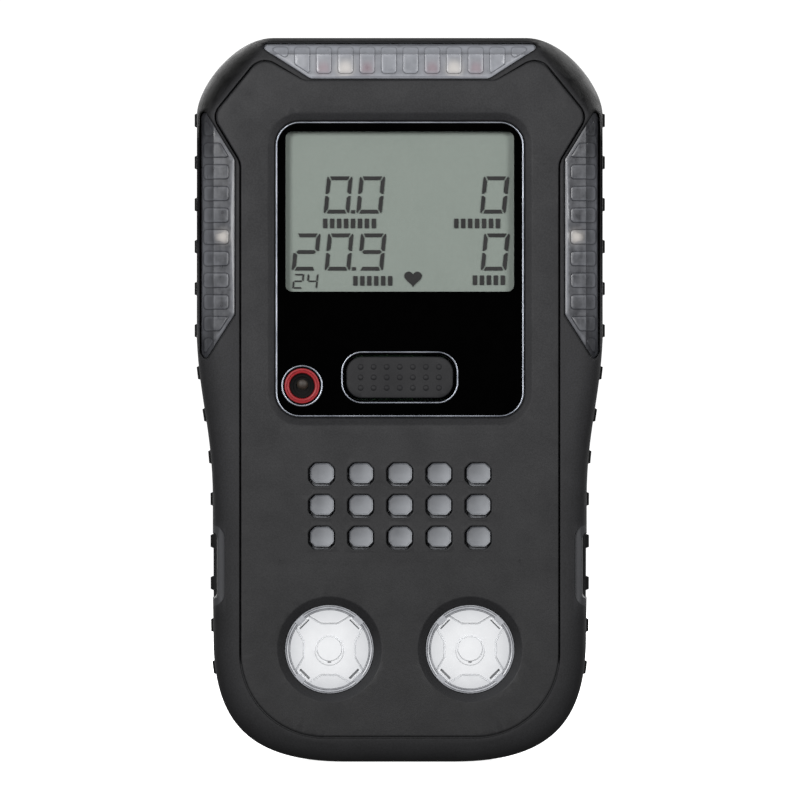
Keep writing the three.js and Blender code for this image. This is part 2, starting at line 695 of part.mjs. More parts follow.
/** A straight pin with a flat head at each end. */
function clipPin() {
  const { y, z, radius, head, halfLength } = PIN;
  const headStart = halfLength - 0.9;
  const heads = crossBar(head, -halfLength, -headStart, y, z).add(crossBar(head, headStart, halfLength, y, z));
  return crossBar(radius, -halfLength, halfLength, y, z).add(heads);
}

/** The centre line of the torsion spring: one leg on the bracket, turns around the pin, one leg on the lever. */
class SpringLine extends THREE.Curve {
  getPoint(share) {
    const { coil, turns, halfWidth } = SPRING;
    const leg = 0.12;
    const round = THREE.MathUtils.clamp((share - leg) / (1 - 2 * leg), 0, 1);
    const angle = round * (2 * turns + 1) * Math.PI;
    const along = 9 * (Math.max(0, leg - share) + Math.max(0, share - 1 + leg)) / leg;
    const x = (2 * round - 1) * halfWidth;
    return new THREE.Vector3(x, PIN.y - coil * Math.cos(angle), PIN.z + coil * Math.sin(angle) + along);
  }
}

function clipSpring() {
  const wire = new THREE.Shape().absarc(0, 0, SPRING.wire, 0, 2 * Math.PI);
  const options = { steps: 48, curveSegments: 3, extrudePath: new SpringLine() };
  return solid(new THREE.ExtrudeGeometry(wire, options));
}

// ----------------------------------------------------------------------------------------------------- assembly

function finish(color, roughness, metalness = 0) {
  return new THREE.MeshStandardMaterial({ color, roughness, metalness });
}

const FINISH = {
  rubber: finish(0x2d2b2a, 0.75),
  panel: finish(0x3f3f41, 0.55),
  lens: finish(0x9a9ca6, 0.3),
  window: finish(0x050505, 0.08),
  display: finish(0x97a39a, 0.35),
  button: finish(0x333335, 0.65),
  redRing: finish(0xbe3237, 0.35),
  clearCap: finish(0xcfd2d6, 0.25),
  white: finish(0xebecee, 0.6),
  grey: finish(0x9a9ca0, 0.6),
  board: finish(0x1f5a38, 0.5),
  plastic: finish(0x202022, 0.5),
  steel: finish(0xb9bbbe, 0.32, 1),
  gold: finish(0xd0a850, 0.3, 1),
  cell: finish(0x2f5fa0, 0.45),
};

const detector = new THREE.Group();
detector.position.y = -OVERALL_DEPTH / 2;

/** Adds one named sub-part to the detector. */
function add(name, body, material) {
  const { vertProperties, triVerts } = body.getMesh();
  const geometry = new THREE.BufferGeometry();
  geometry.setAttribute('position', new THREE.BufferAttribute(vertProperties, 3));
  geometry.setIndex(new THREE.BufferAttribute(triVerts, 1));
  geometry.computeVertexNormals();
  const mesh = new THREE.Mesh(geometry, material);
  mesh.name = name;
  detector.add(mesh);
}

add('front_housing', frontHousing(), FINISH.rubber);
add('rear_housing', rearHousing(), FINISH.plastic);
add('housing_gasket', housingGasket(), FINISH.rubber);
add('right_grip', rightGrip(), FINISH.rubber);
add('left_grip', mirrored(rightGrip()), FINISH.rubber);
add('front_panel', frontPanel(), FINISH.panel);

add('display_window', displayWindow(), FINISH.window);
add('lcd_glass', lcdGlass(), FINISH.display);
add('lcd_frame', lcdFrame(), FINISH.plastic);
add('lcd_backlight', lcdBacklight(), FINISH.white);
add('push_button', pushButton(), FINISH.button);
add('button_switch', buttonSwitch(), FINISH.plastic);
add('infrared_port_ring', portRing(), FINISH.redRing);
add('infrared_port_lens', portLens(), FINISH.plastic);
add('infrared_led', infraredLed(), FINISH.clearCap);

add('top_alarm_lens', topAlarmLens(), FINISH.lens);
add('right_alarm_lens', rightAlarmLens(), FINISH.lens);
add('left_alarm_lens', mirrored(rightAlarmLens()), FINISH.lens);
add('top_led_board', topLedBoard(), FINISH.board);
add('right_led_board', rightLedBoard(), FINISH.board);
add('left_led_board', mirrored(rightLedBoard()), FINISH.board);

add('vent_filter', ventFilter(), FINISH.grey);
add('left_sensor_cap', sensorCap(-LOWER_SENSORS.x, LOWER_SENSORS.z), FINISH.clearCap);
add('right_sensor_cap', sensorCap(LOWER_SENSORS.x, LOWER_SENSORS.z), FINISH.clearCap);
add('left_filter_disc', filterDisc(-LOWER_SENSORS.x, LOWER_SENSORS.z), FINISH.white);
add('right_filter_disc', filterDisc(LOWER_SENSORS.x, LOWER_SENSORS.z), FINISH.white);
for (const [gas, x, z] of sensorPlaces()) {
  add(`${gas}_sensor`, gasSensor(x, z), FINISH.grey);
  add(`${gas}_gasket`, sensorGasket(x, z), FINISH.rubber);
}

add('main_board', mainBoard(), FINISH.board);
add('sensor_board', sensorBoard(), FINISH.board);
add('board_connector', boardConnector(), FINISH.plastic);
add('battery_pack', batteryPack(), FINISH.cell);
add('battery_bracket', batteryBracket(), FINISH.steel);
add('buzzer', buzzer(), FINISH.plastic);
add('vibration_motor', vibrationMotor(), FINISH.steel);
add('motor_weight', motorWeight(), FINISH.steel);

caseScrewPlaces().forEach(([x, z], index) => add(`case_screw_${index + 1}`, caseScrew(x, z), FINISH.steel));
contactPlaces().forEach((x, index) => add(`charging_contact_${index + 1}`, chargingContact(x), FINISH.gold));
add('rear_label', rearLabel(), FINISH.grey);

add('clip_bracket', clipBracket(), FINISH.steel);
add('clip_lever', clipLever(), FINISH.steel);
add('clip_pin', clipPin(), FINISH.steel);
add('clip_spring', clipSpring(), FINISH.steel);
CLIP_SCREWS.forEach(([x, z], index) => add(`clip_screw_${index + 1}`, clipScrew(x, z), FINISH.steel));

export default detector;
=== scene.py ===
"""Looks of the portable gas detector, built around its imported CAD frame.

Working lengths are millimetres: x to the right, z up, and a depth that counts back from the frontmost
point of the frame. A mesh is turned into metres as it is made.
"""

import json
import math
from types import SimpleNamespace

import bmesh
import bpy
import numpy as np
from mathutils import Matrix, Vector
from mathutils.geometry import delaunay_2d_cdt


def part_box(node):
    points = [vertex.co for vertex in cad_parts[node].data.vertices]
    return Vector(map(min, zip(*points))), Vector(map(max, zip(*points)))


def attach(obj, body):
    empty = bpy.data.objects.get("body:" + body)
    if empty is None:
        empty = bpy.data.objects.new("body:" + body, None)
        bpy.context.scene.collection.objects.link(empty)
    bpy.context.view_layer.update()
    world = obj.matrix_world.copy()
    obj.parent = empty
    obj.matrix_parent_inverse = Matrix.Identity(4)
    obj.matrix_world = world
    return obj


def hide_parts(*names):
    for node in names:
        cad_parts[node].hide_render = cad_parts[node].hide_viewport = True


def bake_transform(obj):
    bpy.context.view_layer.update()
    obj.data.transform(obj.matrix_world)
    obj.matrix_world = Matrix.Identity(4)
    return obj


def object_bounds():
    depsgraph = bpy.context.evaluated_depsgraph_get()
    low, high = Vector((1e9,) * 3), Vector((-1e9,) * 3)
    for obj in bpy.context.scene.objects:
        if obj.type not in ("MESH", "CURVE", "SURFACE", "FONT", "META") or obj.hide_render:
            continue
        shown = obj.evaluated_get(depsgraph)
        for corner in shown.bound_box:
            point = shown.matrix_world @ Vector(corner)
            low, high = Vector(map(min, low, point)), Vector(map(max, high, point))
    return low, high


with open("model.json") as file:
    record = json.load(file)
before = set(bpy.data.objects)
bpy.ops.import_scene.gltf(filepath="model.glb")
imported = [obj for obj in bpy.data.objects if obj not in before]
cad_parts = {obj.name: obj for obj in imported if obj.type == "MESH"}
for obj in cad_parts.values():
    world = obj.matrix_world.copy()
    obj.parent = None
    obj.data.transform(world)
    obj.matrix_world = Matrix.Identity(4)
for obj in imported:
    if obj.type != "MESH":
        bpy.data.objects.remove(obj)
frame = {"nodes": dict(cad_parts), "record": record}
CAD_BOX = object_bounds()
MM = 0.001
FRONT = CAD_BOX[0].y / MM
DISTANCE_CHUNK = 4000
SHARP_ANGLE = 32


def extent(node):
    """A CAD node's edges and middle, with its depths counted from the front of the frame."""
    low, high = (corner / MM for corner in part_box(node))
    x, y, z = ((low[axis] + high[axis]) / 2 for axis in range(3))
    edges = SimpleNamespace(left=low.x, right=high.x, bottom=low.z, top=high.z, x=x, depth=y - FRONT, z=z)
    edges.front, edges.back = low.y - FRONT, high.y - FRONT
    return edges


CASE = extent("front_housing")
REAR = extent("rear_housing")
WINDOW = extent("display_window")
LCD = extent("lcd_glass")
PORT = extent("infrared_port_ring")
PANEL = extent("front_panel")
VENT_BED = extent("vent_filter")
GRIP = extent("right_grip")
PIN = extent("clip_pin")
BRACKET = extent("clip_bracket")
LEVER = extent("clip_lever")
CAPS = {side: extent(f"{side}_sensor_cap") for side in ("left", "right")}

# Case
FACE = CASE.front
FOOT = 9
WAIST = 31
SHOULDER = CASE.right
HEIGHT = CASE.top
RIM = SimpleNamespace(width=5.2, depth=6, roundness=2.4, steps=9, wall_step=6)
SEAM = SimpleNamespace(chamfer=0.25, depth=0.3)
CORNER_FALL = SimpleNamespace(start=118, reach=20, drop=0.8, margin=0.35, slope=1.05, ease=0.4)
FLOOR = SimpleNamespace(front=2.9, back=6.5, display=4.9)
GROOVE = 0.11  # half the width of the groove around the face panel
HOLE_GAP = 0.3
DISPLAY_BAY = SimpleNamespace(half_x=22.6, bottom=56, top=109)
BACK = SimpleNamespace(rim=0.84, wall=2.5, boss=4, boss_wall=0.4)
CHANNEL = SimpleNamespace(inset=1.3, end=0.3, back=GRIP.back + 0.25, front=GRIP.front - 0.2)
SLOT_PROFILE = [(-1.45, 6.5), (-1.35, 5.4), (-1.24, 2.0), (-0.12, 1.6), (0, 0.3)]
NUB = SimpleNamespace(count=14, top=106.5, pitch=7, half=1.2, slope=0.22, proud=0.5)

# Front, with corners as (x, z, radius)
PANEL_CORNERS = [(26.4, 4.1, 14), (26.4, 99.3, 3.5), (31.1, 107, 2.6), (23, 117, 3)]
SIDE_LENS = [(27.27, 74.1, 1.2), (32.2, 66.4, 0.5), (33.1, 67.9, 0.8)]
SIDE_LENS += [(33.1, 107, 0.7), (32.4, 108.1, 0.5), (27.27, 99.8, 1.2)]
TOP_LENS = [(14.8, 113.1, 1.6), (22.9, 118.3, 0.5), (22.2, 119.05, 0.5)]
FOLD = 2.86  # how far in from the case's edge the lenses fold back
LENS = SimpleNamespace(recess=0.45, slope=5 / FOLD, wall=1.1, back=4.7, edge=-0.03)
PAD = SimpleNamespace(height=0.2, pitch=3.59, width=2.5, radius=0.6, margin=0.6, smallest=2.2)
BUTTON = SimpleNamespace(z=63.7, half_x=8.83, half_z=3.45, face=0.22, back=5.4)
PORT_HOLE = 3.02
DISH = [(-1.25, 0.9), (-0.1, 0.14), (0.2, 0)]
DISH_RADIUS = 8.66
BORE = SimpleNamespace(radius=6.9, upper_x=10.3)
VENT = SimpleNamespace(pitch_x=6.47, pitch_z=5.25, width=4.4, height=3.84, cut=0.95, columns=5, rows=3)
PILLOW = SimpleNamespace(depth=0.92, edge=-0.2, right=0.1, up=0.2)

# Clip
PIN_RADIUS = 1
SHEET = 1.2
EAR = 2.8


# Outlines


def bezier(start, pull_start, pull_end, end, steps):
    """Points along a cubic curve, without its last one."""
    share = np.linspace(0, 1, steps, endpoint=False)[:, None]
    points = [np.array(point, float) for point in (start, pull_start, pull_end, end)]
    weights = [(1 - share) ** 3, 3 * share * (1 - share) ** 2, 3 * share**2 * (1 - share), share**3]
    return sum(weight * point for weight, point in zip(weights, points))


def case_outline():
    """The case seen from the front, counterclockwise: a flat foot, a waist and broad shoulders."""
    lower = bezier((FOOT, 0), (25, 0), (WAIST - 0.3, 6.5), (WAIST - 0.1, 20), 30)
    side = bezier((WAIST - 0.1, 20), (WAIST, 28), (WAIST, 36), (WAIST, 44), 6)
    waist = bezier((WAIST, 44), (WAIST + 0.1, 55), (SHOULDER - 0.45, 60), (SHOULDER, 70), 16)
    shoulder_end = (SHOULDER, HEIGHT - 12.5)
    shoulder = bezier((SHOULDER, 70), (SHOULDER, 82), (SHOULDER, 95), shoulder_end, 8)
    corner = bezier(shoulder_end, (SHOULDER - 0.15, HEIGHT - 8), (27.5, HEIGHT), (21, HEIGHT), 26)
    right = np.vstack([lower, side, waist, shoulder, corner, [(21, HEIGHT)]])
    return np.vstack([right, right[::-1] * (-1, 1)])


def flipped(corners):
    """The same corners on the other side of the middle, still counterclockwise."""
    return [(-x, z, radius) for x, z, radius in reversed(corners)]


def rectangle(left, right, bottom, top, radius):
    return [(x, z, radius) for x, z in ((left, bottom), (right, bottom), (right, top), (left, top))]


def octagon(left, right, bottom, top, cut, radius):
    """A rectangle whose corners are cut off."""
    corners = [(left + cut, bottom), (right - cut, bottom), (right, bottom + cut), (right, top - cut)]
    corners += [(right - cut, top), (left + cut, top), (left, top - cut), (left, bottom + cut)]
    return [(x, z, radius) for x, z in corners]


def unit(vector):
    return vector / max(np.linalg.norm(vector), 1e-9)


def units(vectors):
    return vectors / np.linalg.norm(vectors, axis=1)[:, None]


def turned(u, v, angle):
    cos, sin = math.cos(angle), math.sin(angle)
    return np.array((u * cos - v * sin, u * sin + v * cos))


def rounded(corners, grow=0.0, spacing=0.3):
    """A counterclockwise outline with round corners, grown all round. Its point count stays the same."""
    places = [np.array(corner[:2], float) for corner in corners]
    ahead = [unit(after - here) for here, after in zip(places, places[1:] + places[:1])]
    outline = []
    for index, (_, _, radius) in enumerate(corners):
        before, after = ahead[index - 1], ahead[index]
        turn = math.atan2(before[0] * after[1] - before[1] * after[0], before @ after)
        outward = unit(np.array((before[1] + after[1], -before[0] - after[0])))
        corner = places[index] + outward * grow / math.cos(turn / 2)
        size = max(radius + grow * math.copysign(1, turn), 0.02)
        start = corner - before * size * abs(math.tan(turn / 2))
        centre = start + np.array((-before[1], before[0])) * math.copysign(size, turn)
        steps = max(2, math.ceil(max(radius, 0.3) * abs(turn) / spacing))
        outline += [centre + turned(*(start - centre), turn * step / steps) for step in range(steps + 1)]
    return np.array(outline)


def clipped(corners, fence):
    """The part of a convex outline inside a convex fence, both as plain counterclockwise corners."""
    kept = [np.array(corner[:2], float) for corner in corners]
    for index, start in enumerate(fence):
        direction = fence[(index + 1) % len(fence)] - start
        sides = [direction[0] * (p - start)[1] - direction[1] * (p - start)[0] for p in kept]
        cut = []
        for i, point in enumerate(kept):
            j = (i + 1) % len(kept)
            if sides[i] >= 0:
                cut.append(point)
            if (sides[i] >= 0) != (sides[j] >= 0):
                cut.append(point + (kept[j] - point) * sides[i] / (sides[i] - sides[j]))
        kept = cut
        if not kept:
            return []
    return [p for i, p in enumerate(kept) if np.linalg.norm(p - kept[i - 1]) > 0.05]


def nearest(points, outline):
    """For each point: its distance to a closed outline, negative inside, and the outward normal there."""
    step = np.roll(outline, -1, axis=0) - outline
    length = np.maximum((step**2).sum(axis=1), 1e-12)
    end = outline + step
    distance = np.empty(len(points))
    normal = np.empty((len(points), 2))
    for first in range(0, len(points), DISTANCE_CHUNK):
        block = points[first : first + DISTANCE_CHUNK]
        offset = block[:, None] - outline[None]
        share = np.clip((offset * step).sum(axis=2) / length, 0, 1)
        gap = ((offset - share[..., None] * step) ** 2).sum(axis=2)
        best = gap.argmin(axis=1)
        above = outline[None, :, 1] > block[:, None, 1]
        crosses = above != (end[None, :, 1] > block[:, None, 1])
        rise = np.where(step[:, 1] == 0, 1, step[:, 1])
        cut = outline[:, 0] + (block[:, None, 1] - outline[:, 1]) * step[:, 0] / rise
        inside = (crosses & (block[:, None, 0] < cut)).sum(axis=1) % 2 == 1
        here = slice(first, first + len(block))
        distance[here] = np.sqrt(gap[np.arange(len(block)), best]) * np.where(inside, -1, 1)
        normal[here] = np.stack([step[best, 1], -step[best, 0]], axis=1)
    return distance, units(normal)


class Disc:
    """A round shape seen from the front."""

    def __init__(self, x, z, radius, steps=72):
        self.centre = np.array((x, z), float)
        self.radius = radius
        self.steps = steps

    def loop(self, grow=0.0):
        angle = np.linspace(0, 2 * math.pi, self.steps, endpoint=False)
        return self.centre + (self.radius + grow) * np.stack([np.cos(angle), np.sin(angle)], axis=1)

    def distance(self, points):
        return np.linalg.norm(points - self.centre, axis=1) - self.radius


class Plate:
    """A shape with straight sides and round corners, seen from the front."""

    def __init__(self, corners, spacing=0.3):
        self.corners = corners
        self.spacing = spacing

    def loop(self, grow=0.0):
        return rounded(self.corners, grow, self.spacing)

    def distance(self, points):
        return nearest(points, self.loop())[0]


class Case(Plate):
    """The case's own outline."""

    def __init__(self):
        self.outline = case_outline()
        before = self.outline - np.roll(self.outline, 1, axis=0)
        after = np.roll(self.outline, -1, axis=0) - self.outline
        both = units(before) + units(after)
        self.normal = units(np.stack([both[:, 1], -both[:, 0]], axis=1))

    def loop(self, grow=0.0):
        return self.outline + self.normal * grow


class Step:
    """A change of depth across the edge of a shape. The profile lists (distance outside the edge, change)."""

    def __init__(self, shape, profile):
        self.shape = shape
        self.profile = sorted(profile)

    def loops(self):
        return [self.shape.loop(grow) for grow, _ in self.profile]

    def change(self, points):
        return np.interp(self.shape.distance(points), *zip(*self.profile))


def node_plate(box, radius):
    """The outline of a CAD node seen from the front."""
    return Plate(rectangle(box.left, box.right, box.bottom, box.top, radius))


def node_disc(name, radius):
    """A round shape over the middle of a CAD node."""
    box = extent(name)
    return Disc(box.x, box.z, radius, 32)


def within(outer, limit=0.0, holes=()):
    """A test for points inside a shape and outside its holes, each hole given as (shape, grow)."""

    def keep(points):
        inside = outer.distance(points) < limit
        for hole, grow in holes:
            inside &= hole.distance(points) > grow
        return inside

    return keep


def closest(shapes, points):
    """The distance to the nearest of several shapes."""
    return np.min([shape.distance(points) for shape in shapes], axis=0)


case = Case()


# Solid meshes


def net(loops, keep, spacing=0.0):
    """Triangles over a flat region whose edges follow the loops. keep says which triangle middles stay."""
    points, edges = [], []
    for loop in loops:
        first, count = len(points), len(loop)
        points.extend(loop)
        edges.extend((first + i, first + (i + 1) % count) for i in range(count))
    if spacing:
        low, high = np.min(loops[0], axis=0), np.max(loops[0], axis=0)
        xs = np.arange(low[0] + spacing / 2, high[0], spacing)
        zs = np.arange(low[1] + spacing / 2, high[1], spacing)
        grid = np.stack(np.meshgrid(xs, zs), axis=-1).reshape(-1, 2)
        grid[:, 0] += np.where(np.round((grid[:, 1] - low[1]) / spacing - 0.5) % 2, spacing / 2, 0)
        clear = np.min([np.abs(nearest(grid, np.array(loop))[0]) for loop in loops], axis=0)
        points.extend(grid[clear > spacing * 0.3])
    made = delaunay_2d_cdt([Vector(point) for point in points], edges, [], 0, 1e-5)
    points, triangles = np.array(made[0]), np.array(made[2])
    return points, triangles[keep(points[triangles].mean(axis=1))]


def valued(source, points):
    """The value at each point of a number or a function."""
    return source(points) if callable(source) else np.full(len(points), float(source))


def everywhere(depth):
    """One region for a whole relief, with the depth of its back."""
    return [(lambda middles: np.full(len(middles), True), depth, 0)]


def at_depth(loop, depth):
    return [(x, depth, z) for x, z in loop]


class Shape:
    """Vertices and faces gathered for one piece."""

    def __init__(self):
        self.vertices = []
        self.faces = []

    def point(self, x, depth, z):
        self.vertices.append((x * MM, (depth + FRONT) * MM, z * MM))
        return len(self.vertices) - 1

    def relief(self, flat, front, regions, wall=()):
        """A closed solid over a flat net. Depths and pulls are numbers or functions of the points.

        Each region is (inside, depth, pull): which triangle middles it holds, the depth of its back, and how
        far its back is pulled in from the case's edge. wall lists (depth, pull) of rings down that edge.
        """
        points, triangles = flat
        middles = points[triangles].mean(axis=1)
        region = np.full(len(triangles), -1)
        for index, (inside, _, _) in reversed(list(enumerate(regions))):
            region[inside(middles)] = index
        distance, normal = nearest(points, case.outline)
        on_edge = np.abs(distance) < 0.004
        rings = {index: ring for index, (_, *ring) in enumerate(regions)}
        rings.update({f"wall{index}": ring for index, ring in enumerate(wall)})
        layers = {"face": (points, valued(front, points))}
        for name, (depth, pull) in rings.items():
            layers[name] = (points - normal * valued(pull, points)[:, None], valued(depth, points))
        made = {}

        def corner(point, layer):
            if (point, layer) not in made:
                place, depth = layers[layer]
                made[point, layer] = self.point(place[point][0], depth[point], place[point][1])
            return made[point, layer]

        sides = {}
        for triangle, back in zip(triangles, region):
            if back < 0:
                continue
            self.faces.append([corner(p, "face") for p in triangle])
            self.faces.append([corner(p, back) for p in reversed(triangle)])
            for start, end in zip(triangle, np.roll(triangle, -1)):
                sides.setdefault(frozenset((start, end)), []).append((start, end, back))
        for edge in sides.values():
            start, end, back = edge[0]
            if len(edge) == 2 and edge[1][2] == back:
                continue
            path = ["face", back] if len(edge) == 1 else [edge[1][2], back]
            if len(edge) == 1 and on_edge[start] and on_edge[end]:
                path[1:1] = [f"wall{index}" for index in range(len(wall))]
            for near, far in zip(path, path[1:]):
                ends = ((end, near), (start, near), (start, far), (end, far))
                self.faces.append([corner(*place) for place in ends])
        return self

    def stepped(self, steps, base, regions, keep, spacing, before=(), after=(), wall=()):
        """A relief whose front is changed by steps. before and after are extra loops of its net."""
        loops = [*before, *[loop for step in steps for loop in step.loops()], *after]

        def front(points):
            return valued(base, points) + sum(step.change(points) for step in steps)

        return self.relief(net(loops, keep, spacing), front, regions, wall)

    def loft(self, rings, closed_ends=True):
        """Quads between rings of (x, depth, z) points. Without closed ends the last ring joins the first."""
        rows = [[self.point(*point) for point in ring] for ring in rings]
        pairs = list(zip(rows, rows[1:]))
        if not closed_ends:
            pairs.append((rows[-1], rows[0]))
        for near, far in pairs:
            for i in range(len(near)):
                j = (i + 1) % len(near)
                self.faces.append([near[i], near[j], far[j], far[i]])
        if closed_ends:
            self.faces += [rows[0][::-1], rows[-1]]
        return self

    def slab(self, shape, profile, closed_ends=True):
        """A plate or a ring that follows a shape. The profile lists (growth, depth)."""
        return self.loft([at_depth(shape.loop(grow), depth) for grow, depth in profile], closed_ends)

    def piece(self, name, finish, *replaced, slot=None, body="case", weighted=True):
        """Makes the object, gives it its material and lets it ride on its body."""
        mesh = bpy.data.meshes.new(name)
        mesh.from_pydata(self.vertices, [], self.faces)
        work = bmesh.new()
        work.from_mesh(mesh)
        bmesh.ops.recalc_face_normals(work, faces=work.faces)
        work.to_mesh(mesh)
        work.free()
        mesh.shade_smooth()
        mesh.set_sharp_from_angle(angle=math.radians(SHARP_ANGLE))
        mesh.materials.append(MATERIALS[finish])
        made = placed(name, mesh)
        if weighted:
            made.modifiers.new("even_shading", "WEIGHTED_NORMAL").keep_sharp = True
        if body:
            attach(made, body)
        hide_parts(*replaced)
        return made


def placed(name, data):
    """An object in the scene that shows some data."""
    made = bpy.data.objects.new(name, data)
    bpy.context.scene.collection.objects.link(made)
    return made


def paint(piece, **layers):
    """Stores named values on a mesh for its material. Each layer is a function of points and depths."""
    co = np.array([vertex.co for vertex in piece.data.vertices]) / MM
    for name, strength in layers.items():
        attribute = piece.data.attributes.new(name, "FLOAT", "POINT")
        values = strength(co[:, [0, 2]], co[:, 1] - FRONT)
        attribute.data.foreach_set("value", np.asarray(values, np.float32))


# Materials


def shade(*levels):
    """A colour from its 0 to 255 screen levels."""
    linear = [((v / 255 + 0.055) / 1.055) ** 2.4 if v > 10 else v / 255 / 12.92 for v in levels]
    return (*linear, 1)


class Finish:
    """A node material put together step by step, with sizes in millimetres and colours as screen levels."""

    def __init__(self, name):
        self.material = bpy.data.materials.new(name)
        self.material.use_nodes = True
        self.tree = self.material.node_tree
        self.shader = self.tree.nodes["Principled BSDF"]
        self.place = self.tree.nodes.new("ShaderNodeTexCoord").outputs["Object"]

    def set(self, socket, value):
        if isinstance(value, bpy.types.NodeSocket):
            self.tree.links.new(value, socket)
        else:
            socket.default_value = shade(*value) if socket.type == "RGBA" else value

    def node(self, kind, inputs, output=0, **settings):
        """Adds a node and gives one of its outputs."""
        made = self.tree.nodes.new(kind)
        for name, value in settings.items():
            setattr(made, name, value)
        for socket, value in inputs.items():
            self.set(made.inputs[socket], value)
        return made.outputs[output]

    def noise(self, size, detail=2.0, roughness=0.5, stretch=None, distortion=0.0):
        place = self.place
        if stretch:
            place = self.node("ShaderNodeMapping", {"Vector": place, "Scale": stretch})
        inputs = {"Vector": place, "Scale": 1 / (size * MM), "Detail": detail}
        return self.node("ShaderNodeTexNoise", {**inputs, "Roughness": roughness, "Distortion": distortion})

    def remap(self, value, low=0, high=1, start=0.3, end=0.7):
        return self.node("ShaderNodeMapRange", {0: value, 1: start, 2: end, 3: low, 4: high})

    def blend(self, share, first, second):
        return self.node("ShaderNodeMix", {0: share, 6: first, 7: second}, 2, data_type="RGBA")

    def painted(self, layer):
        return self.node("ShaderNodeAttribute", {}, "Fac", attribute_name=layer)

    def over(self, colour, layer, top):
        """Covers a colour where a layer is painted."""
        return self.blend(self.painted(layer), colour, top)

    def bump(self, height, size, **below):
        """Relief of a height map, given its full height in millimetres."""
        inputs = {"Height": height, "Distance": size * MM, "Strength": 1.0, **below}
        return self.node("ShaderNodeBump", inputs)

    def done(self, **sockets):
        for name, value in sockets.items():
            self.set(self.shader.inputs[name.replace("_", " ")], value)
        return self.material


def moulded(name, dark, light, roughness, grain, height, specular=0.5, patch=9.0, spread=0.05):
    """Moulded plastic or rubber with an etched grain, lighter where a painted highlight is set and darker
    where a painted shade is set.
    """
    finish = Finish(name)
    speck = finish.noise(grain, detail=3, roughness=0.6)
    cloud = finish.remap(finish.noise(patch, detail=3))
    colour = finish.blend(finish.blend(0.6, cloud, finish.remap(speck, 0, 1, 0.38, 0.62)), dark, light)
    # Painted highlight and painted shade, laid over the plastic's own colour.
    colour = finish.over(finish.over(colour, "pale", (96, 97, 100)), "deep", (8, 8, 8))
    gloss = finish.remap(finish.noise(patch * 0.4, detail=4), roughness - spread, roughness + spread)
    relief = finish.bump(speck, height, Normal=finish.bump(finish.noise(grain * 4), height))
    return finish.done(Base_Color=colour, Roughness=gloss, Normal=relief, Specular_IOR_Level=specular)


def metal(name, dark, light, roughness, brush=(1, 1, 1)):
    """Metal with fine marks along one direction and faint stains. It is black where a painted shade is set.
    """
    finish = Finish(name)
    marks = finish.noise(0.12, detail=3, roughness=0.7, stretch=brush)
    colour = finish.blend(finish.remap(finish.noise(4, detail=3)), dark, light)
    colour = finish.blend(finish.remap(marks, 0, 0.35), colour, dark)
    # Painted shade: black where the layer is set, as inside the screws' sockets.
    colour = finish.over(colour, "deep", (12, 12, 12))
    gloss = finish.remap(marks, roughness - 0.08, roughness + 0.12)
    return finish.done(Base_Color=colour, Roughness=gloss, Normal=finish.bump(marks, 0.004), Metallic=1.0)


def filtered(name, patch, detail, noisy, dark, light, gloss, grain, height):
    """Filter cloth or the pads over it, lighter where tone is painted and dark where line is; these layers
    carry painted highlight and painted shade.
    """
    finish = Finish(name)
    cloud = finish.noise(patch, detail)
    colour = finish.blend(finish.blend(noisy, finish.painted("tone"), finish.remap(cloud)), dark, light)
    colour = finish.over(colour, "line", (84, 86, 90))
    relief = finish.bump(finish.noise(grain, detail), height)
    return finish.done(Base_Color=colour, Roughness=finish.remap(cloud, *gloss), Normal=relief)


def rim_finish(name):
    """The clear plastic around a sensor port, with painted dark lines that stand in for the light its steps
    refract.
    """
    finish = Finish(name)
    cloud = finish.noise(1.5, detail=3)
    colour = finish.blend(finish.remap(cloud), (168, 170, 175), (194, 196, 201))
    colour = finish.over(colour, "line", (70, 70, 74))
    return finish.done(Base_Color=colour, Roughness=finish.remap(cloud, 0.22, 0.34))


def lens_finish(name):
    """Smoky translucent plastic, with pale and red diodes glowing faintly through it."""
    finish = Finish(name)
    cloud = finish.noise(1.6, detail=3, roughness=0.55)
    streak = finish.noise(0.7, detail=2, stretch=(1, 0.3, 0.25))
    # The painted tone and line layers add painted highlights and painted shade to the smoky plastic.
    tone = finish.blend(0.09, finish.painted("tone"), finish.remap(cloud))
    colour = finish.blend(finish.blend(0.07, tone, finish.remap(streak)), (24, 24, 28), (190, 193, 201))
    for layer, top in (("lit", (226, 220, 214)), ("red", (160, 112, 122)), ("line", (46, 46, 52))):
        colour = finish.over(colour, layer, top)
    finish.done(Base_Color=colour, Roughness=finish.remap(cloud, 0.26, 0.4), Normal=finish.bump(cloud, 0.004))
    return finish.done(Coat_Weight=0.12, Coat_Roughness=0.16)


def pane_finish(name):
    """The clear part of the window: it only mirrors, and shows what is behind it."""
    finish = Finish(name)
    smudge = finish.remap(finish.noise(6, detail=3), 0.02, 0.08)
    facing = finish.node("ShaderNodeLayerWeight", {"Blend": 0.5}, "Facing")
    grazing = finish.node("ShaderNodeMath", {0: facing, 1: 5.0}, operation="POWER")
    clear = finish.node("ShaderNodeBsdfTransparent", {})
    mirror = finish.node("ShaderNodeBsdfGlossy", {"Roughness": smudge})
    both = finish.node("ShaderNodeMixShader", {0: finish.remap(grazing, 0.03, 1, 0, 1), 1: clear, 2: mirror})
    finish.set(finish.tree.nodes["Material Output"].inputs["Surface"], both)
    finish.tree.nodes.remove(finish.shader)
    return finish.material


def board_finish(name):
    """A circuit board: green lacquer over faint copper tracks."""
    finish = Finish(name)
    bricks = {"Vector": finish.place, "Scale": 240.0, "Mortar Size": 0.03, "Mortar": (255, 255, 255)}
    tracks = finish.node("ShaderNodeTexBrick", {**bricks, "Color1": (0, 0, 0), "Color2": (0, 0, 0)})
    colour = finish.blend(finish.noise(3), (16, 62, 36), (28, 84, 50))
    colour = finish.blend(tracks, colour, (70, 120, 70))
    return finish.done(Base_Color=colour, Roughness=finish.remap(finish.noise(1), 0.3, 0.45))


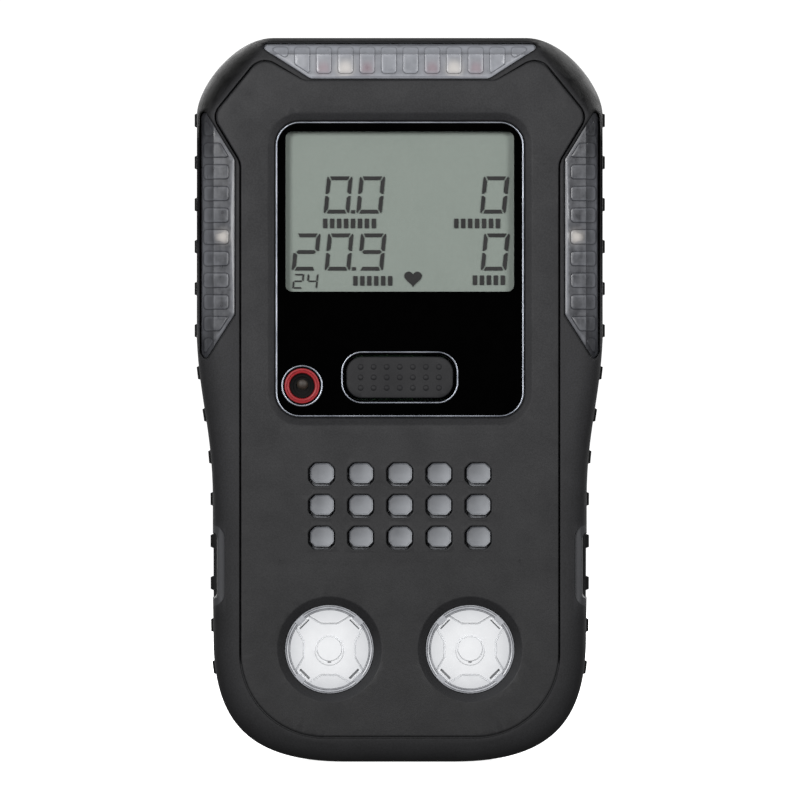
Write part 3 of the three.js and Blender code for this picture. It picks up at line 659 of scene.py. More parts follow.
def label_finish(name):
    """A blank rating label of brushed grey film."""
    finish = Finish(name)
    fibre = finish.noise(0.3, detail=3, stretch=(0.1, 1, 1))
    colour = finish.blend(finish.remap(fibre), (120, 122, 125), (140, 142, 145))
    return finish.done(Base_Color=colour, Roughness=finish.remap(fibre, 0.35, 0.5), Metallic=0.3)


def battery_finish(name):
    """Shrink film with soft wrinkles."""
    finish = Finish(name)
    wrinkle = finish.noise(5, detail=4, distortion=0.8)
    colour = finish.blend(finish.remap(wrinkle), (34, 78, 140), (50, 100, 168))
    gloss = finish.remap(wrinkle, 0.3, 0.45)
    return finish.done(Base_Color=colour, Roughness=gloss, Normal=finish.bump(wrinkle, 0.15))


MATT = 0.3
DULL = 0.12
SHINY = 0.5
RECIPES = [
    (moulded, "edge_rubber", (50, 50, 51), (62, 62, 64), 0.62, 0.24, 0.016, DULL),
    (moulded, "grip_rubber", (10, 10, 10), (17, 17, 17), 0.72, 0.2, 0.02, MATT),
    (moulded, "rear_plastic", (26, 26, 27), (36, 36, 37), 0.58, 0.3, 0.02, MATT),
    (moulded, "panel_plastic", (34, 34, 36), (49, 49, 51), 0.55, 0.26, 0.02, MATT),
    (moulded, "seal_rubber", (8, 8, 8), (16, 16, 16), 0.8, 0.3, 0.02),
    (moulded, "button_rubber", (30, 30, 32), (38, 38, 40), 0.6, 0.18, 0.012, MATT),
    (moulded, "inner_plastic", (30, 30, 32), (44, 44, 47), 0.5, 0.4, 0.01),
    (moulded, "sensor_body", (200, 200, 196), (226, 226, 222), 0.5, 0.5, 0.01),
    (moulded, "window_gloss", (1, 1, 1), (2, 2, 2), 0.05, 3, 0.0, SHINY, 20, 0.01),
    (moulded, "port_red", (148, 32, 38), (168, 42, 48), 0.45, 0.3, 0.006, MATT),
    (moulded, "port_black", (3, 3, 3), (7, 7, 7), 0.8, 0.3, 0.006, MATT),
    (moulded, "port_glass", (44, 38, 33), (62, 54, 46), 0.5, 0.6, 0.002),
    (moulded, "cap_tab", (164, 166, 171), (182, 184, 189), 0.35, 0.6, 0.003),
    (moulded, "display_glass", (138, 148, 140), (143, 153, 145), 0.4, 0.5, 0.0004, SHINY, 14),
    (moulded, "display_ink", (15, 14, 14), (21, 20, 20), 0.6, 0.4, 0.002),
    (metal, "steel", (176, 177, 180), (196, 197, 200), 0.38, (0.04, 1, 1)),
    (metal, "contact_gold", (188, 146, 72), (232, 196, 120), 0.28),
    (metal, "silver_trim", (110, 114, 122), (160, 164, 172), 0.35),
    (filtered, "filter_white", 2.5, 3, 0.15, (190, 192, 196), (246, 247, 249), (0.5, 0.65), 0.3, 0.01),
    (filtered, "filter_grey", 2.2, 2, 0.12, (76, 78, 83), (166, 169, 174), (0.4, 0.5), 0.4, 0.002),
    (rim_finish, "cap_clear"),
    (lens_finish, "lens_plastic"),
    (pane_finish, "clear_pane"),
    (board_finish, "circuit_board"),
    (label_finish, "label_grey"),
    (battery_finish, "battery_wrap"),
]
MATERIALS = {name: make(name, *looks) for make, name, *looks in RECIPES}


def finish_frame():
    """Gives every CAD node the material of its slot."""
    slots = {part["node"]: part["material_slot"] for part in frame["record"]["subparts"]}
    for name, node in frame["nodes"].items():
        node.data.materials.clear()
        node.data.materials.append(MATERIALS[slots[name]])


# The case's front


def panel_shape(top):
    """The face panel's outline, with its own height for the edge under the top lens."""
    corners = PANEL_CORNERS + [(15.9, top, 2)]
    return Plate(corners + flipped(corners))


PANEL_SHAPE = panel_shape(113.03)
PANEL_HOLE = panel_shape(112.73)
LENS_SHAPES = {
    "right_alarm_lens": Plate(SIDE_LENS),
    "left_alarm_lens": Plate(flipped(SIDE_LENS)),
    "top_alarm_lens": Plate(TOP_LENS + flipped(TOP_LENS)),
}
SLOTS = [Plate(rectangle(*ends, 25.8, 39.3, 2.2)) for ends in ((28.9, 42), (-42, -28.9))]
BUTTON_EDGES = (-BUTTON.half_x, BUTTON.half_x, BUTTON.z - BUTTON.half_z, BUTTON.z + BUTTON.half_z)
BUTTON_SHAPE = Plate(rectangle(*BUTTON_EDGES, 2.6), 0.2)
OPENING = Plate(rectangle(-18.9, 18.9, 77.9, 104.4, 1.1), 0.2)
WINDOW_SHAPE = node_plate(WINDOW, 4)


def edge_fall(inset):
    """How far the round rim has fallen back at a distance in from the case's edge."""
    share = np.clip(1 - inset / RIM.width, 0, 1)
    return RIM.depth * (1 - (1 - share**RIM.roundness) ** (1 / RIM.roundness))


def rim_inset(step):
    """How far in a loop of the rim runs. The loops are closer together where the rim curves most."""
    angle = math.radians(90 - 90 * step / RIM.steps)
    return RIM.width * (1 - math.sin(angle) ** (2 / RIM.roundness))


def rim_loops():
    return [case.loop(-rim_inset(step)) for step in range(RIM.steps + 1)]


def side_wall(back):
    """The region of a shell's side wall, drawn in at the seam to leave a small chamfer."""
    wall = rim_inset(RIM.wall_step)

    def pull(points):
        return SEAM.chamfer * np.clip(1 + case.distance(points) / wall, 0, 1)

    return lambda middles: case.distance(middles) > -wall, back, pull


def beyond_corner(points):
    """How far points lie outside the slanted edges at the panel's upper corners."""
    low, high = (np.array(corner[:2], float) for corner in PANEL_CORNERS[2:4])
    along = unit(high - low)
    place = np.stack([np.abs(points[:, 0]), points[:, 1]], axis=1) - low
    return np.clip(place @ (along[1], -along[0]) - CORNER_FALL.margin, 0, None)


def corner_fall(points):
    """How far the upper corners fall back: a slow crown, then a facet beyond the panel's slanted edge."""
    across = np.abs(points[:, 0]) + points[:, 1]
    crown = np.clip((across - CORNER_FALL.start) / CORNER_FALL.reach, 0, 1.4) ** 2
    beyond = beyond_corner(points)
    return CORNER_FALL.drop * crown + CORNER_FALL.slope * beyond**2 / (beyond + CORNER_FALL.ease)


def face_depth(points):
    """The front of the object before any groove or recess: flat, with lower upper corners and a round rim."""
    return FACE + corner_fall(points) + edge_fall(-case.distance(points))


def lens_depth(points):
    """The lenses' own surface: it folds back towards the case's edge in a straight slope."""
    fold = LENS.slope * np.clip(FOLD + case.distance(points), 0, None)
    return FACE + LENS.recess + corner_fall(points) + fold


def lens_back(points):
    return np.maximum(LENS.back, lens_depth(points) + LENS.wall)


def vent_shapes(move_x=0.0, move_z=0.0):
    """The rounded openings of the vent grid."""
    shapes = []
    for column in range(VENT.columns):
        for row in range(VENT.rows):
            x = (column - (VENT.columns - 1) / 2) * VENT.pitch_x + move_x
            z = VENT_BED.z + (row - (VENT.rows - 1) / 2) * VENT.pitch_z + move_z
            half_x, half_z = VENT.width / 2, VENT.height / 2
            shapes.append(Plate(octagon(x - half_x, x + half_x, z - half_z, z + half_z, VENT.cut, 0.7), 0.2))
    return shapes


def front_housing():
    """The front shell: a rubber rim around the recess of the face panel, with lens pockets and side slots."""
    pockets = list(LENS_SHAPES.values())
    holes = [node_plate(LCD, 0.8), Plate(BUTTON_SHAPE.corners), Disc(PORT.x, PORT.z, 2.2)]
    holes.append(node_plate(VENT_BED, 1.5))
    holes += [Disc(cap.x, cap.z, BORE.radius) for cap in CAPS.values()]
    holes += [Disc(x, VENT_BED.z, BORE.radius) for x in (-BORE.upper_x, BORE.upper_x)]
    groove = Step(PANEL_HOLE, [(GROOVE, 0.2), (GROOVE + 0.08, 0.05), (GROOVE + 0.25, 0)])
    slots = [Step(slot, SLOT_PROFILE) for slot in SLOTS]
    loops = [
        *rim_loops(),
        *[pocket.loop(grow) for pocket in pockets for grow in (0.3, 0.05, 0.02)],
        *groove.loops(),
        *[PANEL_HOLE.loop(grow) for grow in (GROOVE - 0.02, 0.02 - GROOVE, -GROOVE, GROOVE + 0.6)],
        *[loop for slot in slots for loop in slot.loops()],
        *[hole.loop(HOLE_GAP) for hole in holes],
    ]

    def depth(points):
        result = face_depth(points) + groove.change(points)
        for slot in slots:
            lowered = np.maximum(result, FACE + slot.change(points))
            result = np.where(slot.shape.distance(points) < 0.001, lowered, result)
        for pocket in pockets:
            distance = pocket.distance(points)
            result = result + np.interp(distance, [0.05, 0.3], [0.3, 0])
            result = np.where(distance < 0.035, np.maximum(result, lens_back(points) + 0.25), result)
        panel = PANEL_HOLE.distance(points)
        shallow = result + 0.1 + 2.2 * np.clip((points[:, 1] - 16) / 6, 0, 1)
        result = np.where(panel < GROOVE - 0.01, np.minimum(shallow, FLOOR.front), result)
        return np.where(panel < 0.01 - GROOVE, FLOOR.front, result)

    def inner_face(points):
        return np.maximum(FLOOR.back, face_depth(points) + 1.2)

    def is_display(middles):
        across, up = middles.T
        return (np.abs(across) < DISPLAY_BAY.half_x) & (up > DISPLAY_BAY.bottom) & (up < DISPLAY_BAY.top)

    gaps = [(slot, SLOT_PROFILE[0][0]) for slot in SLOTS] + [(hole, HOLE_GAP) for hole in holes]
    flat = net(loops, within(case, 0, gaps), 1.6)
    regions = [side_wall(CASE.back), (is_display, FLOOR.display, 0), *everywhere(inner_face)]
    shape = Shape().relief(flat, depth, regions, [(CASE.back - SEAM.depth, 0)])
    shell = shape.piece("front_shell", "edge_rubber", "front_housing")

    def deep(points, _):
        """Painted shade: the rubber is darker on the upper corners' facets and, outside the slots, towards
        the foot.
        """
        low = 0.42 * np.clip(1 - points[:, 1] / 66, 0, 1) * (closest(SLOTS, points) > 0.05)
        return np.clip(beyond_corner(points) / 1.2, 0, 0.97) + low

    def pale(points, _):
        """Painted highlight on the slots' facets, where light from the side would fall."""
        facet = closest(SLOTS, points)
        return 0.46 * (facet > -1.3) * (facet < -0.05)

    paint(shell, deep=deep, pale=pale)


def front_panel():
    """The face panel: a dished surround at the window and the sensor ports, and the vent openings."""
    round_edge = [(0, 0.22), (0.07, 0.08), (0.2, 0.02), (0.4, 0)]
    edge = Step(PANEL_SHAPE, [(-GROOVE - inset, fall) for inset, fall in round_edge])
    surround = Step(WINDOW_SHAPE, [(0.06, 0.9), (0.15, 0.8), (0.28, 0.56), (1.2, 0.12), (1.6, 0)])
    outline = Step(Plate(rectangle(-20.04, 20.04, 33.3, 54.5, 0.6)), [(-0.04, -0.03), (0.04, 0)])
    dishes = [Disc(cap.x, cap.z, DISH_RADIUS) for cap in CAPS.values()]
    vents = vent_shapes()
    lip = [(0, 0.14), (0.1, 0), (0.2, -0.03), (0.3, -0.03), (0.42, 0)]
    steps = [edge, surround, outline, *[Step(dish, DISH) for dish in dishes]]
    steps += [Step(vent, lip) for vent in vents]
    holes = [(WINDOW_SHAPE, 0.06), *[(dish, DISH[0][0]) for dish in dishes], *[(vent, 0) for vent in vents]]
    keep = within(PANEL_SHAPE, -GROOVE, holes)
    shape = Shape().stepped(steps, face_depth, everywhere(PANEL.back), keep, 2.4)
    panel = shape.piece("face_panel", "panel_plastic", "front_panel")

    def deep(points, _):
        """Painted shade: the panel is darker towards the foot."""
        return 0.55 * np.clip(1 - points[:, 1] / 70, 0, 1)

    def pale(points, _):
        """Painted highlight: the slope around each sensor port is lighter low on its right, where light from
        above would fall.
        """
        total = np.zeros(len(points))
        for dish in dishes:
            low_right = (points - dish.centre) @ (0.45, -0.9) / dish.radius
            total += (dish.distance(points) < 0) * np.clip(low_right, 0, 1)
        return 0.4 * total

    paint(panel, deep=deep, pale=pale)


def pad_outlines(name, fence):
    """The raised pads of one lens, cut to its margins."""
    half = PAD.width / 2
    if name == "top_alarm_lens":
        middles = [(index - 5.5) * PAD.pitch for index in range(12)]
        boxes = [rectangle(x - half - 0.05, x + half + 0.05, 113.95, 118.6, 0) for x in middles]
    else:
        side = 1 if name == "right_alarm_lens" else -1
        ends = sorted((28.25 * side, 32.7 * side))
        heights = [104.9 - index * PAD.pitch for index in range(11)]
        boxes = [rectangle(*ends, z - half, z + half, 0) for z in heights]
    cut = [clipped(box, fence) for box in boxes]
    return [[(x, z, PAD.radius) for x, z in pad] for pad in cut if signed_area(pad) > PAD.smallest]


def signed_area(outline):
    """The area of a plain outline, negative where it runs clockwise."""
    pairs = zip(outline, [*outline[1:], *outline[:1]])
    return sum(x0 * z1 - x1 * z0 for (x0, z0), (x1, z1) in pairs) / 2


def alarm_lens(name, shape, diodes):
    """A smoky lens with a row of raised pads. diodes lists (x, z, size, layer) of what glows through it."""
    on_top = name == "top_alarm_lens"
    fence = rounded([(x, z, 0.0) for x, z, _ in shape.corners], -PAD.margin, 9)[::3]
    pads = [Plate(pad, 0.15) for pad in pad_outlines(name, fence)]
    pad_edge = [(-0.24, -PAD.height), (-0.12, -PAD.height * 0.85), (0, 0), (0.1, 0)]
    steps = [Step(shape, [(LENS.edge, 0.16), (-0.1, 0.05), (-0.25, 0)])]
    steps += [Step(pad, pad_edge) for pad in pads]
    keep = within(shape, LENS.edge)
    made = Shape().stepped(steps, lens_depth, everywhere(lens_back), keep, 0.5, after=[case.loop(-FOLD)])
    lens = made.piece(name.replace("alarm_lens", "lens_cover"), "lens_plastic", name)

    def line(points, _):
        """Painted shade at the foot of every pad."""
        gap = np.min([np.abs(pad.distance(points)) for pad in pads], axis=0)
        return np.clip(1 - gap / 0.12, 0, 1) * (0.45 if on_top else 0.7)

    def tone(points, _):
        """Painted light and shade: pale on top, smokier at the sides, with painted highlights on the fold,
        the inner margins and around the pads, and dark tips.
        """
        inset = -case.distance(points)
        fold = np.exp(-(((inset - FOLD - 0.3) / 0.55) ** 2))
        outer = np.clip((FOLD - inset) / 1.5, 0, 1)
        margin = np.clip(1 - np.abs(-shape.distance(points) - 0.4) / 0.35, 0, 1)
        margin = margin * np.clip((inset - FOLD) / 0.6, 0, 1)
        pad = closest(pads, points)
        ring = np.exp(-(((pad + 0.26) / 0.12) ** 2)) * 0.12
        if on_top:
            return np.clip(0.55 + 0.25 * margin + 0.9 * outer + ring - 0.05 * (pad > 0.05), 0, 1)
        middle = np.exp(-(((points[:, 1] - 86.5) / 15) ** 4))
        body = middle * (0.07 + 0.36 * outer) + 0.05 * fold
        return np.clip(body + margin * (0.06 + 0.42 * middle) + ring * (0.2 + 0.6 * middle), 0, 1)

    def glow(layer, strength):
        def shine(points, _):
            total = np.zeros(len(points))
            for x, z, size, kind in diodes:
                away = np.hypot(points[:, 0] - x, points[:, 1] - z)
                total += np.exp(-((away / size) ** 3)) * (kind == layer)
            return np.clip(total, 0, 1) * strength

        return shine

    paint(lens, line=line, tone=tone, lit=glow("lit", 0.7), red=glow("red", 0.35))


def alarm_lenses():
    sides = (("right", 1), ("left", -1))
    diodes = {f"{side}_alarm_lens": [(29.2 * sign, 87.0, 1.1, "lit")] for side, sign in sides}
    along = ((9, "lit", 1.35), (5.4, "red", 1.1), (12.6, "red", 1.1))
    diodes["top_alarm_lens"] = [(x * sign, 114.8, size, kind) for x, kind, size in along for sign in (1, -1)]
    for name, shape in LENS_SHAPES.items():
        alarm_lens(name, shape, diodes[name])


# Window and display


def display_window():
    """The black glossy window with its openings, the clear pane over the display and the bright trims."""
    front = WINDOW.front
    holes = [(OPENING, 0.0), (BUTTON_SHAPE, 0.32), (Disc(PORT.x, PORT.z, PORT_HOLE), 0.0)]
    loops = [WINDOW_SHAPE.loop(-0.3), *[hole.loop(grow) for hole, grow in holes]]
    glass = Shape().relief(net(loops, within(WINDOW_SHAPE, -0.3, holes), 4.0), front, everywhere(WINDOW.back))
    glass.piece("window", "window_gloss", "display_window")
    pane = Shape().slab(OPENING, [(-0.12, front), (-0.02, front + 0.08), (-0.02, front + 0.5)])
    pane.piece("window_pane", "clear_pane", "display_window", slot="window_gloss")
    trim = Shape()
    port = Disc(PORT.x, PORT.z, 3.3)
    rings = [(WINDOW_SHAPE, -0.04, -0.28), (BUTTON_SHAPE, 0.85, 0.61), (port, 0.13, -0.13)]
    for outline, outer, inner in rings:
        section = [(outer, 0.4), (outer, -0.02), (outer - 0.05, -0.05)]
        section += [(inner + 0.05, -0.05), (inner, -0.02), (inner, 0.4)]
        trim.slab(outline, [(grow, front + fall) for grow, fall in section], closed_ends=False)
    trim.piece("window_trim", "silver_trim", "display_window", slot="window_gloss")


SEGMENTS = {"0": "abcdef", "2": "abdeg", "4": "bcfg", "9": "abcdfg"}
SLANT = math.tan(math.radians(5.5))
INK = SimpleNamespace(front=LCD.front + 0.45, back=LCD.front + 0.51, mirror=LCD.front + 0.72)
LARGE_DIGIT = (4.2, 6.15, 0.63)
SMALL_DIGIT = (1.75, 2.45, 0.26)


def segment_outlines(width, height, bar):
    """The seven bars of a digit, drawn upright from its lower left corner."""
    gap = bar * 0.27
    middle = height / 2
    tip = bar * 0.5
    far = width - gap
    top = [(tip + gap, height), (bar + gap, height - bar), (far - bar, height - bar), (far - tip, height)]
    left = [(0, middle + gap), (0, height - tip), (tip - gap, height)]
    left += [(bar, height - bar - gap), (bar, middle + tip + gap), (tip, middle + gap)]
    centre = [(tip + gap, middle), (bar + gap, middle + tip), (far - bar, middle + tip)]
    centre += [(far - tip, middle), (far - bar, middle - tip), (bar + gap, middle - tip)]
    return {
        "a": top,
        "b": [(width - u, v) for u, v in left],
        "c": [(width - u, height - v) for u, v in left],
        "d": [(u, height - v) for u, v in top],
        "e": [(u, height - v) for u, v in left],
        "f": left,
        "g": centre,
    }


def printed(shape, corners):
    """One mark in the display's ink."""
    shape.slab(Plate(corners, 0.1), [(0, INK.front), (0, INK.back)])


def number(shape, text, left, bottom, pitch, size):
    """Slanted seven-segment digits. A point stands after the digit that it follows."""
    width, height, bar = size
    segments = segment_outlines(*size)
    for sign in text:
        if sign == ".":
            dot = left - pitch + width + bar * 0.55
            drawn = [[(dot, 0), (dot + bar, 0), (dot + bar, bar * 0.9), (dot, bar * 0.9)]]
        else:
            drawn = [[(left + u + v * SLANT, v) for u, v in segments[name]] for name in SEGMENTS[sign]]
            left += pitch
        for outline in drawn:
            corners = [(x, bottom + v, 0.03) for x, v in outline]
            printed(shape, corners if signed_area(outline) > 0 else corners[::-1])


def bars(shape, left, right, bottom, pitch=1.15):
    """A plain row of blocks, as on a level display."""
    for index in range(round((right - left) / pitch)):
        x = left + index * pitch
        printed(shape, rectangle(x, x + pitch * 0.62, bottom, bottom + 1.6, 0.1))


def heart(shape, x, z, width):
    """The mark that beats while the instrument works."""
    turn = np.linspace(0, 2 * math.pi, 48, endpoint=False)
    across = 16 * np.sin(turn) ** 3
    up = 13 * np.cos(turn) - 5 * np.cos(2 * turn) - 2 * np.cos(3 * turn) - np.cos(4 * turn)
    outline = [(x + u * width / 32, z + v * width / 32) for u, v in zip(across, up)]
    shape.loft([at_depth(outline, depth) for depth in (INK.front, INK.back)])


def display():
    """The reflective display with its digits a little in front of the mirror layer."""
    glass = Shape().slab(node_plate(LCD, 0.8), [(0, INK.mirror), (0, LCD.back)])
    glass.piece("lcd_mirror", "display_glass", "lcd_glass")
    ink = Shape()
    number(ink, "0.0", -12.6, 90.85, 5.4, LARGE_DIGIT)
    number(ink, "0", 13.3, 90.85, 5.4, LARGE_DIGIT)
    number(ink, "20.9", -17.9, 81.4, 5.45, LARGE_DIGIT)
    number(ink, "0", 13.4, 81.4, 5.4, LARGE_DIGIT)
    number(ink, "24", -17.8, 78.4, 2.35, SMALL_DIGIT)
    for row in ((-12.7, -3.6, 88.4), (9.0, 17.1, 88.4), (-7.7, -0.5, 78.9), (12.1, 17.3, 79.0)):
        bars(ink, *row)
    heart(ink, 2.2, 80.15, 2.9)
    ink.piece("lcd_digits", "display_ink", "lcd_glass", slot="display_glass", weighted=False)


def push_button():
    """The button: a crowned rubber cap with three rows of bumps."""
    bump = [(-0.32, -0.15), (-0.16, -0.11), (0, 0)]
    places = [(2.16 * column, BUTTON.z + 1.74 * row) for column in range(-3, 4) for row in (-1, 0, 1)]
    steps = [Step(BUTTON_SHAPE, [(0, 0.45), (-0.05, 0.2), (-0.12, 0.07), (-0.28, 0)])]
    steps += [Step(Disc(x, z, 0.5, 20), bump) for x, z in places]
    cap = Shape().stepped(steps, BUTTON.face, everywhere(BUTTON.back), within(BUTTON_SHAPE), 1.5)
    cap.piece("button_cap", "button_rubber", "push_button", body="button")


def infrared_port():
    """The red ring around the port and the stepped black bore with its small lens."""
    face = PORT.front
    axis = Disc(PORT.x, PORT.z, 0, 64)
    steps = [(2.9, 0.14), (2.82, 0.03), (2.62, 0), (2.56, 0.2)]
    steps += [(2.5, 0.2), (2.44, 0.06), (2.2, 0.12), (2.08, 0.4)]
    section = [(2.9, PORT.back), *[(radius, face + fall) for radius, fall in steps], (2.06, PORT.back)]
    Shape().slab(axis, section, closed_ends=False).piece("port_ring", "port_red", "infrared_port_ring")
    bore = [(0.02, 3.6), (1.0, 3.55), (1.05, 3.1), (1.5, 3.0), (1.55, 2.5), (2.0, 2.35)]
    bore += [(2.0, 4.6), (0.02, 4.6)]
    Shape().slab(axis, bore).piece("port_bore", "port_black", "infrared_port_lens", slot="port_red")
    glass = [(0.05, 2.95), (0.5, 3.0), (0.8, 3.15), (0.98, 3.4), (0.98, 3.7)]
    glass = Shape().slab(Disc(PORT.x + 0.1, PORT.z + 0.35, 0, 32), glass)
    glass.piece("port_glass", "port_glass", "infrared_port_lens", slot="port_red")


# Vents and sensor ports


def vent_filter():
    """The filter's bed and the soft pads that fill the vent openings."""
    shape = Shape().slab(node_plate(VENT_BED, 1.5), [(0, VENT_BED.front), (0, VENT_BED.back)])
    profile = [(PILLOW.edge, 0.5), (-0.26, 0.2), (-0.34, 0.12), (-0.42, 0.14), (-0.5, 0.06), (-1.1, 0)]
    for vent in vent_shapes(PILLOW.right, PILLOW.up):
        keep = within(vent, PILLOW.edge)
        shape.stepped([Step(vent, profile)], PILLOW.depth, everywhere(VENT_BED.front), keep, 0.6)
    pads = shape.piece("vent_pads", "filter_grey", "vent_filter")

    def tone(points, _):
        """Painted shade and highlight: each clear pad is darker at its upper left, and pale along its lower
        edge.
        """
        across = ((points[:, 0] - PILLOW.right) / VENT.pitch_x + 0.5) % 1 - 0.5
        up = ((points[:, 1] - PILLOW.up - VENT_BED.z) / VENT.pitch_z + 0.5) % 1 - 0.5
        rim = np.abs([across * VENT.pitch_x / VENT.width, up * VENT.pitch_z / VENT.height]).max(axis=0)
        return np.clip(0.39 + 1.1 * across - 0.95 * up + 0.5 * (rim > 0.42) * (across > 0.1), 0, 1)

    paint(pads, tone=tone)


def turned_plate(corners, box, degrees, spacing=0.2):
    """A shape drawn above the middle of a CAD node, then turned around that middle."""
    angle = math.radians(degrees)
    return Plate([((box.x, box.z) + turned(u, v, angle)).tolist() + [r] for u, v, r in corners], spacing)


def cap_rim(side):
    """The cap's clear rim: fine steps around the disc, and four tabs that hold it."""
    cap = CAPS[side]
    steps = [(7.34, 0.35), (7.26, 0.12), (7.16, 0.06), (7.12, 0.22), (7.06, 0.22), (7.02, 0.06)]
    steps += [(6.8, 0.1), (6.76, 0.26), (6.7, 0.26), (6.66, 0.14), (6.5, 0.2), (6.46, 0.4)]
    section = [(7.34, cap.back), *[(radius, cap.front + fall) for radius, fall in steps], (6.46, cap.back)]
    rim = Shape().slab(Disc(cap.x, cap.z, 0, 96), section, closed_ends=False)
    rim = rim.piece(f"{side}_cap_rim", "cap_clear", f"{side}_sensor_cap")

    def line(points, depths):
        """Painted dark lines at the bottoms of the two fine steps, standing in for the light they refract."""
        return np.clip((depths - cap.front - 0.15) / 0.05, 0, 0.75) * (depths < cap.front + 0.3)

    paint(rim, line=line)
    tabs = Shape()
    for degrees in (45, 135, 225, 315):
        tab = turned_plate(rectangle(-0.85, 0.85, 6.36, 7.24, 0.12), cap, degrees, 0.1)
        tabs.slab(tab, [(-0.04, cap.front), (0, cap.front + 0.05), (0, cap.front + 0.6)])
    tabs.piece(f"{side}_cap_tabs", "cap_tab", f"{side}_sensor_cap", slot="cap_clear")


PETAL = [(-1.3, 4.27, 0.5), (1.3, 4.27, 0.5), (2.1, 4.72, 0.8), (3.85, 5.8, 0.1)]
PETAL += [(5, 9, 0.1), (-5, 9, 0.1), (-3.85, 5.8, 0.1), (-2.1, 4.72, 0.8)]


def sensor_cap(side):
    """A white disc with four petals, corner windows and a round boss, held in its clear rim."""
    cap_rim(side)
    cap = CAPS[side]
    disc = Disc(cap.x, cap.z, 6.48, 96)
    petals = [turned_plate(PETAL, cap, quarter * 90) for quarter in range(4)]
    windows, lips = [], []
    for quarter, inner in enumerate((5.78, 5.6, 5.6, 5.78)):
        degrees = 45 + 90 * quarter
        windows.append(turned_plate(rectangle(-1.06, 1.06, inner, 5.93, 0.05), cap, degrees))
        lips.append(turned_plate(rectangle(-1.1, 1.1, 6.0, 6.22, 0.06), cap, degrees))
    boss = Disc(cap.x, cap.z + 0.1, 2.1, 48)
    collar = Disc(cap.x, cap.z - 0.28, 2.4, 48)
    notch = Plate(rectangle(cap.x - 0.28, cap.x + 0.28, cap.z - 2.2, cap.z - 2.04, 0.06))
    petal_edge = [(-0.34, -0.14), (-0.16, -0.14), (0, 0.1), (0.1, 0.1), (0.2, 0)]
    steps = [Step(petal, petal_edge) for petal in petals]
    steps.append(Step(boss, [(-0.14, -0.16), (0, 0.06), (0.08, 0.06), (0.16, 0)]))
    steps.append(Step(collar, [(-0.1, -0.08), (0, 0.04), (0.1, 0)]))
    steps.append(Step(notch, [(-0.05, 0.25), (0, 0), (0.08, 0)]))
    steps += [Step(window, [(-0.03, 0.5), (0, 0), (0.08, 0)]) for window in windows]
    steps += [Step(lip, [(-0.06, -0.16), (0, 0)]) for lip in lips]

    def base(points):
        return cap.front + 0.3 + 0.12 * (np.linalg.norm(points - disc.centre, axis=1) / disc.radius) ** 2

    shape = Shape().stepped(steps, base, everywhere(cap.back), within(disc), 0.8, before=[disc.loop()])
    made = shape.piece(f"{side}_cap_disc", "filter_white", f"{side}_sensor_cap", f"{side}_filter_disc")

    def line(points, _):
        """Painted shade at the edges: strongest under the top petal and inside the windows, faint elsewhere.
        """
        across, up = ((points - disc.centre) / disc.radius).T
        shaded = 0.15 + 0.5 * np.clip((up - 0.5) / 0.15, 0, 1) + 0.35 * (up < -0.2) * (up > -0.72)
        gap = np.min([np.abs(petal.distance(points) - 0.05) for petal in petals], axis=0)
        off_middle = np.clip(np.abs(across) * disc.radius / 0.3 - 1, 0, 1)
        result = np.clip(1 - gap / 0.12, 0, 1) * shaded * off_middle
        ring = np.min([np.abs(shape.distance(points)) for shape in (boss, collar)], axis=0)
        result = np.maximum(result, np.clip(1 - ring / 0.12, 0, 1) * (0.1 + 0.25 * (up < 0)))
        return np.maximum(result, np.clip(0.7 - closest([*windows, notch], points) / 0.06, 0, 0.7))

    def tone(points, _):
        """Painted light and shade: palest in the middle, greyer towards the rim and on the petals, with
        painted highlights on the lips and the top edge.
        """
        field = closest(petals, points)
        away = np.linalg.norm(points - disc.centre, axis=1) / disc.radius
        top_edge = (np.abs(field + 0.16) < 0.08) * (points[:, 1] - cap.z > 0.5 * disc.radius)
        white = 0.6 * (closest(lips, points) < 0.02) + 0.4 * top_edge
        return np.clip(0.92 - 0.5 * away**3 - 0.12 * (field < 0) + white, 0, 1)

    paint(made, line=line, tone=tone)


# Sides and back


def side_edge(z):
    """The right edge of the case at a height: its x and its outward normal."""
    right = case.outline[: len(case.outline) // 2]
    x, ahead, behind = (np.interp(z + step, right[:, 1], right[:, 0]) for step in (0, 0.5, -0.5))
    return x, unit(np.array((1.0, behind - ahead)))


def grip(side, sign):
    """A rubber strip along one side, with a row of nubs for the fingers."""
    nubs = [NUB.top - index * NUB.pitch for index in range(NUB.count)]
    heights = list(np.linspace(GRIP.bottom, GRIP.top, 70))
    edges = (NUB.half, NUB.half - NUB.slope)
    heights += [nub + end * reach for nub in nubs for end in (-1, 1) for reach in edges]
    rings = []
    front, back = GRIP.front + 0.1, GRIP.back - 0.1
    for z in sorted(height for height in heights if GRIP.bottom <= height <= GRIP.top):
        x, normal = side_edge(z)
        proud = NUB.proud * float(np.clip((NUB.half - min(abs(z - nub) for nub in nubs)) / NUB.slope, 0, 1))
        half = [(-1.2, 0), (-0.15, 0), (0, 0.15), (0, 0.6), (proud, 0.85)]
        section = [(out, front + ease) for out, ease in half]
        section += [(out, back - ease) for out, ease in reversed(half)]
        rings.append([(sign * (x + normal[0] * out), depth, z + normal[1] * out) for out, depth in section])
    Shape().loft(rings).piece(f"{side}_grip_strip", "grip_rubber", f"{side}_grip", slot="edge_rubber")


